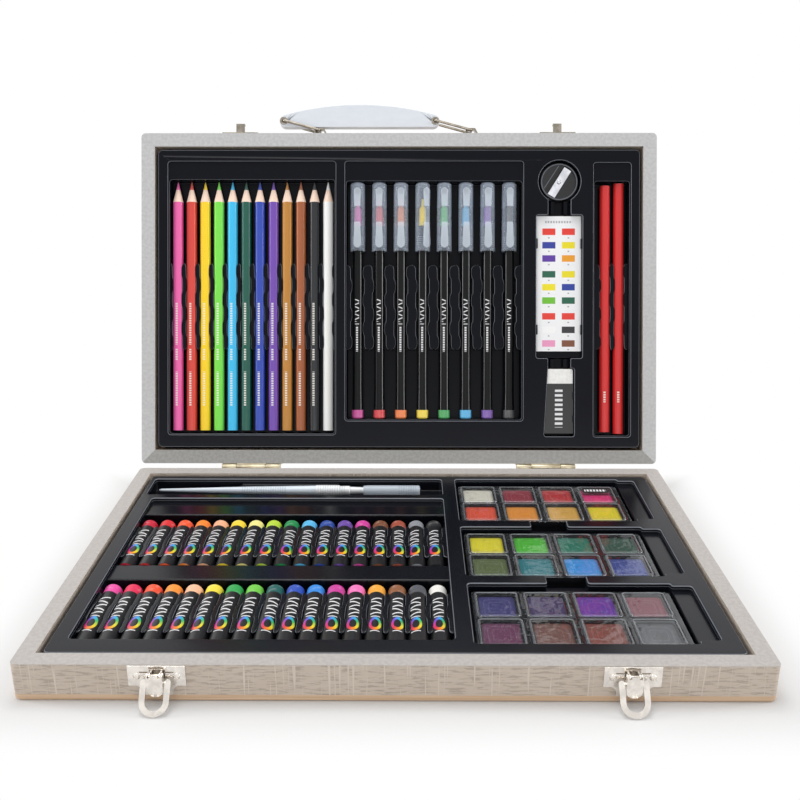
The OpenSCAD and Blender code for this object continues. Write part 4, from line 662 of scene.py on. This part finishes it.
class Sheet:
    """A pressed sheet in a half's own frame, in millimetres."""

    def __init__(self, half="base"):
        self.half, self.points, self.faces = half, [], []

    def add(self, points):
        self.points += [Vector(p) for p in points]
        return list(range(len(self.points) - len(points), len(self.points)))

    def ring(self, corners, grow, z):
        """An outline of (x, y, radius) corners, counter-clockwise, moved out by grow."""
        spots = [Vector(c[:2]) for c in corners]
        outline = []
        for i, corner in enumerate(corners):
            after = spots[(i + 1) % len(spots)]
            outline += rounded_corner(spots[i - 1], spots[i], after, corner[2], grow)
        return self.add([(p.x, p.y, z) for p in outline])

    def bridge(self, outer, inner):
        for i in range(len(outer)):
            j = (i + 1) % len(outer)
            self.faces.append((outer[i], outer[j], inner[j], inner[i]))

    def walls(self, corners, profile):
        """Rings along a profile of (grow, z); gives the first and the last."""
        rings = [self.ring(corners, grow, z) for grow, z in profile]
        for outer, inner in zip(rings, rings[1:]):
            self.bridge(outer, inner)
        return rings[0], rings[-1]

    def fill(self, outer, *holes):
        """A flat face inside a ring, open at the holes."""
        index = [i for loop in (outer, *holes) for i in loop]
        loops = [[self.points[i] for i in loop] for loop in (outer, *holes)]
        for triangle in tessellate_polygon(loops):
            a, b, c = (index[i] for i in triangle)
            upward = (self.points[b] - self.points[a]).cross(self.points[c] - self.points[a]).z > 0
            self.faces.append((a, b, c) if upward else (a, c, b))

    def pit(self, corners, profile, *inside):
        """A pit with a flat floor, open at the rims of the pits inside it; gives its own rim."""
        rim, floor = self.walls(corners, profile)
        self.fill(floor, *inside)
        return rim

    def across(self, path, x0, x1):
        """A path of (y, z) drawn from x0 to x1."""
        left, right = (self.add([(x, y, z) for y, z in path]) for x in (x0, x1))
        for i in range(len(path) - 1):
            self.faces.append((left[i], right[i], right[i + 1], left[i + 1]))

    def block(self, x0, y0, x1, y1, r, profile):
        """A raised block with a flat top."""
        self.fill(self.walls(rectangle(x0, y0, x1, y1, r), profile)[1])

    def mirrored_blocks(self, middle, near, far, y0, y1, r, profile):
        """Two raised blocks, from near to far on the left and on the right of the middle."""
        for side in (-1, 1):
            x0, x1 = sorted((middle + side * near, middle + side * far))
            self.block(x0, y0, x1, y1, r, profile)

    def ribs(self, row, left_end, right_end, y0, y1, width, floor, top, swing, waves, steps=60):
        """Wavy retaining ribs between the pieces of a row and along the pit's two sides."""
        reach = row.d / 2 + 0.3
        room = (row.pitch - width) / 2
        places = [(row.first + (i + 0.5) * row.pitch, width) for i in range(row.count - 1)]
        places += [(left_end, 2 * (row.first - left_end - room)),
                   (right_end, 2 * (right_end - row.last - room))]
        levels = [(floor, 0.0)] + [(row.z + (top - row.z) * k / 4, 0.0) for k in range(-3, 4)]
        levels += [(top - 0.35, 0.12), (top - 0.1, 0.38), (top, 0.8)]
        for x, w in places:
            before = None
            for s in range(steps + 1):
                t = s / steps
                wave = math.sin(math.tau * waves * t)
                lobe = 0.84 + 0.16 * abs(wave) ** 0.5
                half = w / 2 * lobe * math.sqrt(max(0.02, 1 - abs(2 * t - 1) ** 24))
                middle = x + swing * math.copysign(abs(wave) ** 0.5, wave)
                left, right = [], []
                for z, inset in levels:
                    chord = math.sqrt(max(0.0, reach ** 2 - (z - row.z) ** 2))
                    free = w / 2 + room - chord if w != width else row.pitch / 2 - chord
                    thick = max(half - inset, 0.05)
                    left.append((max(middle - thick, x - free), y0 + t * (y1 - y0), z))
                    right.append((min(middle + thick, x + free), y0 + t * (y1 - y0), z))
                section = self.add(left + right[::-1])
                if before:
                    for i in range(len(section) - 1):
                        self.faces.append((before[i], before[i + 1], section[i + 1], section[i]))
                else:
                    self.faces.append(tuple(section[::-1]))
                before = section
            self.faces.append(tuple(before))

    def piece(self, name, material, slot, *nodes):
        """The finished mesh, in the place of CAD nodes."""
        mesh = bpy.data.meshes.new(name)
        mesh.from_pydata([HALVES[self.half] @ p * MM for p in self.points], [], self.faces)
        mesh.polygons.foreach_set("use_smooth", [True] * len(mesh.polygons))
        mesh.materials.append(material)
        made = bpy.data.objects.new(name, mesh)
        bpy.context.scene.collection.objects.link(made)
        made.modifiers.new("even_light", "WEIGHTED_NORMAL").keep_sharp = True
        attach(made, self.half)
        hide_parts(*nodes)


def tray_edge(sheet):
    """The tray's skirt on its foot; gives the ring where the plate starts."""
    profile = [(1.7, TRAY_FOOT), (0.5, TRAY_FOOT), (0.0, TRAY_FOOT + 0.5)]
    profile += raised(TRAY_FOOT + 1, TRAY_TOP, 0.9)
    low, high = MIDDLE_Y[sheet.half] - TRAY_HALF_Y, MIDDLE_Y[sheet.half] + TRAY_HALF_Y
    return sheet.walls(rectangle(-TRAY_HALF_X, low, TRAY_HALF_X, high, 3), profile)[1]


def crayon_ribs(row):
    """The row with the top and the two ends of its ribs."""
    return row, row.z + 4, row.tip - 46.2, row.tip - 8.2


def base_tray_sheet():
    """The base's tray: crayon pits, brush bay and palette bays."""
    sheet = Sheet("base")
    edge = tray_edge(sheet)
    crayon_floor, brush_floor, palette_floor, shelf = 6.3, 10.4, 9.3, TRAY_TOP - 3
    ledge_top, notch_floor = 16.5, 11.4
    # crayon pits: one long pit with a divider and a shelf across it
    x0, x1 = crayons_back.first - crayons_back.d / 2 - 0.6, crayons_back.last + crayons_back.d / 2 + 1.7
    front = crayons_front.end - 0.5
    divider = (crayons_front.tip + 4.9, crayons_back.end - 0.5)
    back = crayons_back.tip + 7.7
    crayon_rim = sheet.pit(rectangle(x0, front, x1, back + 18.3, 2), pressed(TRAY_TOP, crayon_floor))
    sheet.across(rounded_path((divider[0], crayon_floor, 0), (divider[0], shelf, 0.9),
                              (divider[1], shelf, 0.9), (divider[1], crayon_floor, 0)), x0 - 0.05, x1 + 0.05)
    sheet.across(rounded_path((back, crayon_floor, 0), (back, shelf, 0.9), (back + 18.8, shelf, 0)),
                 x0 - 0.05, x1 + 0.05)
    for row in (crayons_front, crayons_back):
        _, top, y0, y1 = crayon_ribs(row)
        sheet.ribs(row, x0, x1, y0, y1, 3.2, crayon_floor, top, 0.5, 1.5)
    # brush bay with its finger hollow and the ledge behind it
    hollow = sheet.pit(rectangle(-106.0, 76.2, -40.0, 94.2, 3), pressed(brush_floor, 6.4, 0.8, 0.8))
    brush_rim = sheet.pit(rectangle(-165.5, 74.7, x1, 99.4, 2), pressed(TRAY_TOP, brush_floor), hollow)
    sheet.block(-106.0, 95.0, -40.0, 101.4, 1.5, raised(brush_floor, ledge_top))
    # palette bays with their finger strips, joined by thumb notches
    left, right, strip = 38.6, 148.5, 159.4
    notch = (82.0, 104.0)
    bays = [(-95.4, -38.7), (-30.4, 28.5), (37.0, 99.5)]
    outline = []
    for i, (low, high) in enumerate(bays):
        outline += [(notch[1], low, 1.5)] if i else [(left, low, 2)]
        outline += [(right, low, 1.4), (right, low + 3, 1.0), (strip, low + 3, 2), (strip, high - 2.5, 2),
                    (right, high - 2.5, 1.0), (right, high, 1.2)]
        outline += [(notch[1], high, 1.5)] if i < 2 else [(left, high, 2)]
    for i in (2, 1, 0):
        outline += [(left, bays[i][0], 2), (notch[0], bays[i][0], 1.5)] if i else []
        outline += [(notch[0], bays[i - 1][1], 1.5), (left, bays[i - 1][1], 2)] if i else []
    palette_rim = sheet.pit(outline, pressed(TRAY_TOP, palette_floor))
    for low, high in bays:
        sheet.block(right, low + 2, strip + 1.5, high - 1.5, 1.5, raised(palette_floor, shelf))
        for x in (left + 14, left + 17.5, right - 17.5, right - 14):
            sheet.block(x - 0.5, high - 0.5, x + 0.5, high + 1, 0.3, raised(palette_floor, 18.2, 0.3))
    for (_, before), (after, _) in zip(bays, bays[1:]):
        sheet.across(rounded_path((before, palette_floor, 0), (before, notch_floor, 0.8),
                                  (after, notch_floor, 0.8), (after, palette_floor, 0)),
                     notch[0] - 0.1, notch[1] + 0.1)
    sheet.fill(edge, crayon_rim, brush_rim, palette_rim)
    return sheet


def lid_tray_sheet():
    """The lid's tray: pencil, drawing pencil and pen bays, and a column for sharpener, chart and eraser."""
    sheet = Sheet("lid")
    edge = tray_edge(sheet)
    bay, bay_end = TRAY_TOP - 1.6, 211.6
    pencil_floor, pen_floor, saddle = 7.3, 5.6, 7.4
    y0, y1 = LID_RIBS_Y
    rims = []

    def nested_bay(x0, x1, low, high, end, floor):
        """A pit in a shallow bay that runs on to the end given; gives the pit's left and right."""
        pit = sheet.pit(rectangle(x0, low, x1, high, 2), pressed(bay, floor, 0.5, 0.6, 0.2))
        rims.append(sheet.pit(rectangle(x0 - 0.8, low - 0.8, x1 + 0.8, end, 2),
                              pressed(TRAY_TOP, bay, 0.6, 0.25, 0.1), pit))
        return x0, x1

    pit = nested_bay(pencils.first - 4.6, pencils.last + 5.0, pencils.end - 2.1, pencils.tip + 6.3,
                     bay_end, pencil_floor)
    sheet.ribs(pencils, *pit, y0, y1, 3.8, pencil_floor, LID_RIB_TOP, 0.6, 3)
    pit = nested_bay(drawing_pencils.first - 8.4, drawing_pencils.last + 6.4,
                     drawing_pencils.end - 1.3, drawing_pencils.tip + 1, bay_end - 1, pencil_floor)
    sheet.ribs(drawing_pencils, *pit, y0, y1, 3.8, pencil_floor, LID_RIB_TOP, 0.6, 3)
    cap_top = extent("pen_caps", "lid")[1].y
    plug_end = extent("pen_plugs", "lid")[0].y
    pit = nested_bay(pens.first - 7.8, pens.last + 8.4, plug_end - 0.8, cap_top + 0.6, bay_end, pen_floor)
    sheet.ribs(pens, *pit, y0, y1 - 1, 7.0, pen_floor, LID_RIB_TOP, 0.6, 3)
    sheet.across(rounded_path((y0, pen_floor, 0), (y0, saddle, 0.5), (y1 - 1, saddle, 0.5),
                              (y1 - 1, pen_floor, 0)), pit[0] - 0.05, pit[1] + 0.05)
    # sharpener well, colour chart and eraser, joined by channels
    middle, well_y, well_r = CHART_X, 197.6, 14.8
    half_channel, channel_floor, column_floor = 7.8, 11, 6.6
    chart_x, chart = 16.15, (73.9, 174.2)
    eraser_x, eraser = 10.6, (19.0, 66.8)
    start = math.asin(half_channel / well_r)
    arc = [start + (math.tau - 2 * start) * k / 44 for k in range(45)]
    well = [(middle + well_r * math.sin(a), well_y - well_r * math.cos(a), 0) for a in arc]
    outline = [(middle - eraser_x, eraser[0], 1.5), (middle + eraser_x, eraser[0], 1.5),
               (middle + eraser_x, eraser[1], 1.5), (middle + half_channel, eraser[1], 1.2),
               (middle + half_channel, chart[0], 1.2), (middle + chart_x, chart[0], 1.5),
               (middle + chart_x, chart[1], 1.5), (middle + half_channel, chart[1], 1.2)] + well
    outline += [(2 * middle - x, y, r) for x, y, r in outline[7:2:-1]]
    rims.append(sheet.pit(outline, pressed(TRAY_TOP, column_floor, 0.7, 0.3, 0.1)))
    floors = rounded_path((eraser[1], column_floor, 0), (eraser[1], channel_floor, 0.8),
                          (chart[0], channel_floor, 0.8), (chart[0], 13.6, 0.8), (chart[1], 13.6, 0.8),
                          (chart[1], channel_floor, 0.8), (well_y - 12.6, channel_floor, 0.8),
                          (well_y - 12.6, 8, 0.5), (well_y + well_r, 8, 0))
    sheet.across(floors, middle - chart_x - 0.05, middle + chart_x + 0.05)
    for low, high in ((eraser[1] + 0.5, chart[0] - 0.3), (chart[1] + 0.3, well_y - 13.2)):
        sheet.mirrored_blocks(middle, 2.9, 6.1, low, high, 0.4, raised(channel_floor, 15.6, 1.5))
    for y in (90.5, 150.9):
        sheet.mirrored_blocks(middle, chart_x - 1.1, chart_x + 1.2, y, y + 7, 0.6, raised(15.2, 18.3, 0.6))
    for y in (29.1, 45.1):
        sheet.mirrored_blocks(middle, eraser_x - 1.0, eraser_x + 1.2, y, y + 5, 0.6, raised(16.9, 18.3, 0.5))
    sheet.fill(edge, *rims)
    return sheet


def cover_sheet():
    """Vacuum-formed covers: a rim, a plate and a raised box over each pan."""
    sheet = Sheet("base")
    for i, pans in enumerate(palettes):
        low, high = extent(f"palette_base_{i + 1}")
        foot, plate, top = high.z, high.z + COVER_PLATE, high.z + COVER_ROOF
        edge = sheet.walls(rectangle(low.x, low.y, high.x, high.y, 2.5),
                           raised(foot, plate + 0.06, 0.4) + [(-1.4, plate + 0.06), (-1.8, plate)])[1]
        boxes = []
        for x, y in pans.middles():
            half_x, half_y = pans.size.x / 2 + 1.9, pans.size.y / 2 + 1.6
            profile = [(0.5, plate), (0.3, plate - 0.15), (0.0, plate)] + raised(plate + 0.1, top, 0.4)
            profile += [(-1.0, top), (-1.3, top - 0.2), (-1.8, top - 0.2)]
            rim, roof = sheet.walls(rectangle(x - half_x, y - half_y, x + half_x, y + half_y, 2.2), profile)
            boxes.append(rim)
            sheet.fill(roof)
        sheet.fill(edge, *boxes)
    return sheet


cover_sheet().piece("clear_covers", clear_film("clear_plastic_covers", palettes[0]), "clear_plastic",
                    "palette_covers")
base_plastic = tray_plastic("tray_plastic_base", "base", 0.32,
                            crayon_ribs(crayons_front), crayon_ribs(crayons_back))
base_tray_sheet().piece("pressed_base_tray", base_plastic, "tray_plastic", "base_tray")
lid_plastic = tray_plastic("tray_plastic_lid", "lid", 0.1,
                           *((row, LID_RIB_TOP, *LID_RIBS_Y) for row in (pencils, drawing_pencils, pens)))
lid_tray_sheet().piece("pressed_lid_tray", lid_plastic, "tray_plastic", "lid_tray")


# ----------------------------------------------------------------- the studio
def studio_white(name, shade):
    """A pale matt floor with soft shadows near the case, plain white to the eye farther off."""
    f = Finish(name)
    x, y, z = f.spot()
    far = (abs(x) - CASE_HALF_X).max(abs(y) - CASE_HALF_Y).rise(2, 40)
    seen = f.node("LightPath", output="Is Camera Ray").max(f.node("LightPath", output="Is Glossy Ray"))
    seen = seen.max(f.node("LightPath", output="Is Transmission Ray"))
    matt = f.node("BsdfDiffuse", None, {"Color": (shade, shade, shade, 1.0)})
    white = f.node("Emission", None, {"Color": (1, 1, 1, 1), "Strength": 1.0})
    f.node("OutputMaterial", None, {"Surface": f.node("MixShader", None, {0: far * seen, 1: matt, 2: white})})
    return f.material


bpy.ops.mesh.primitive_plane_add(size=40, location=(0, 0, 0))
floor = bpy.context.object
floor.name = "studio_floor"
floor.data.materials.append(studio_white("studio_floor", 0.7))

# plain white to the eye and in gloss, dimmer where it lights matt surfaces
SKY_LIGHT, SKY_SEEN = 0.55, 1.0
world = bpy.data.worlds.new("studio")
bpy.context.scene.world = world
world.use_nodes = True
sky = world.node_tree
sky.nodes.clear()
path = sky.nodes.new("ShaderNodeLightPath")
seen = sky.nodes.new("ShaderNodeMath")
seen.operation = "MAXIMUM"
level = sky.nodes.new("ShaderNodeMapRange")
glow = sky.nodes.new("ShaderNodeBackground")
end = sky.nodes.new("ShaderNodeOutputWorld")
sky.links.new(path.outputs["Is Camera Ray"], seen.inputs[0])
sky.links.new(path.outputs["Is Glossy Ray"], seen.inputs[1])
sky.links.new(seen.outputs[0], level.inputs["Value"])
level.inputs["To Min"].default_value = SKY_LIGHT
level.inputs["To Max"].default_value = SKY_SEEN
glow.inputs["Color"].default_value = (1, 1, 1, 1)
sky.links.new(level.outputs[0], glow.inputs["Strength"])
sky.links.new(glow.outputs[0], end.inputs["Surface"])


def softbox(name, place, aim, width, height, power):
    """A broad lamp turned to the aim; metres and watts."""
    data = bpy.data.lights.new(name, "AREA")
    data.shape, data.size, data.size_y, data.energy = "RECTANGLE", width, height, power
    lamp = bpy.data.objects.new(name, data)
    lamp.location = place
    lamp.rotation_euler = (Vector(aim) - Vector(place)).to_track_quat("-Z", "Y").to_euler()
    bpy.context.scene.collection.objects.link(lamp)


softbox("softbox_above", (-0.2, 0.1, 1.6), (0, 0, 0.0), 1.2, 0.8, 12)
softbox("softbox_front", (0.0, -2.2, 0.3), (0, 0.1, 0.12), 2.0, 0.5, 12)
softbox("softbox_left", (-1.45, 0.1, 0.5), (0, 0.12, 0.12), 0.4, 1.2, 11)
softbox("softbox_right", (1.45, 0.05, 0.5), (0, 0.12, 0.12), 0.4, 1.2, 11)

# the camera fitted to the photograph
EYE = Vector((5.067, -485.440, 278.612))
PAN, LOOK_DOWN, ROLL = (math.radians(a) for a in (0.368, 19.106, -0.054))
FOCAL_WIDTHS = 935.06 / 800
camera = bpy.data.objects.new("camera", bpy.data.cameras.new("camera"))
camera.data.sensor_width = 36.0
camera.data.lens = FOCAL_WIDTHS * camera.data.sensor_width
camera.matrix_world = (Matrix.Translation(EYE * MM) @ Matrix.Rotation(PAN, 4, "Z")
                       @ Matrix.Rotation(math.pi / 2 - LOOK_DOWN, 4, "X") @ Matrix.Rotation(ROLL, 4, "Z"))
camera.data.clip_start = 0.01
bpy.context.scene.collection.objects.link(camera)
bpy.context.scene.camera = camera
bpy.context.scene.view_settings.view_transform = "Standard"
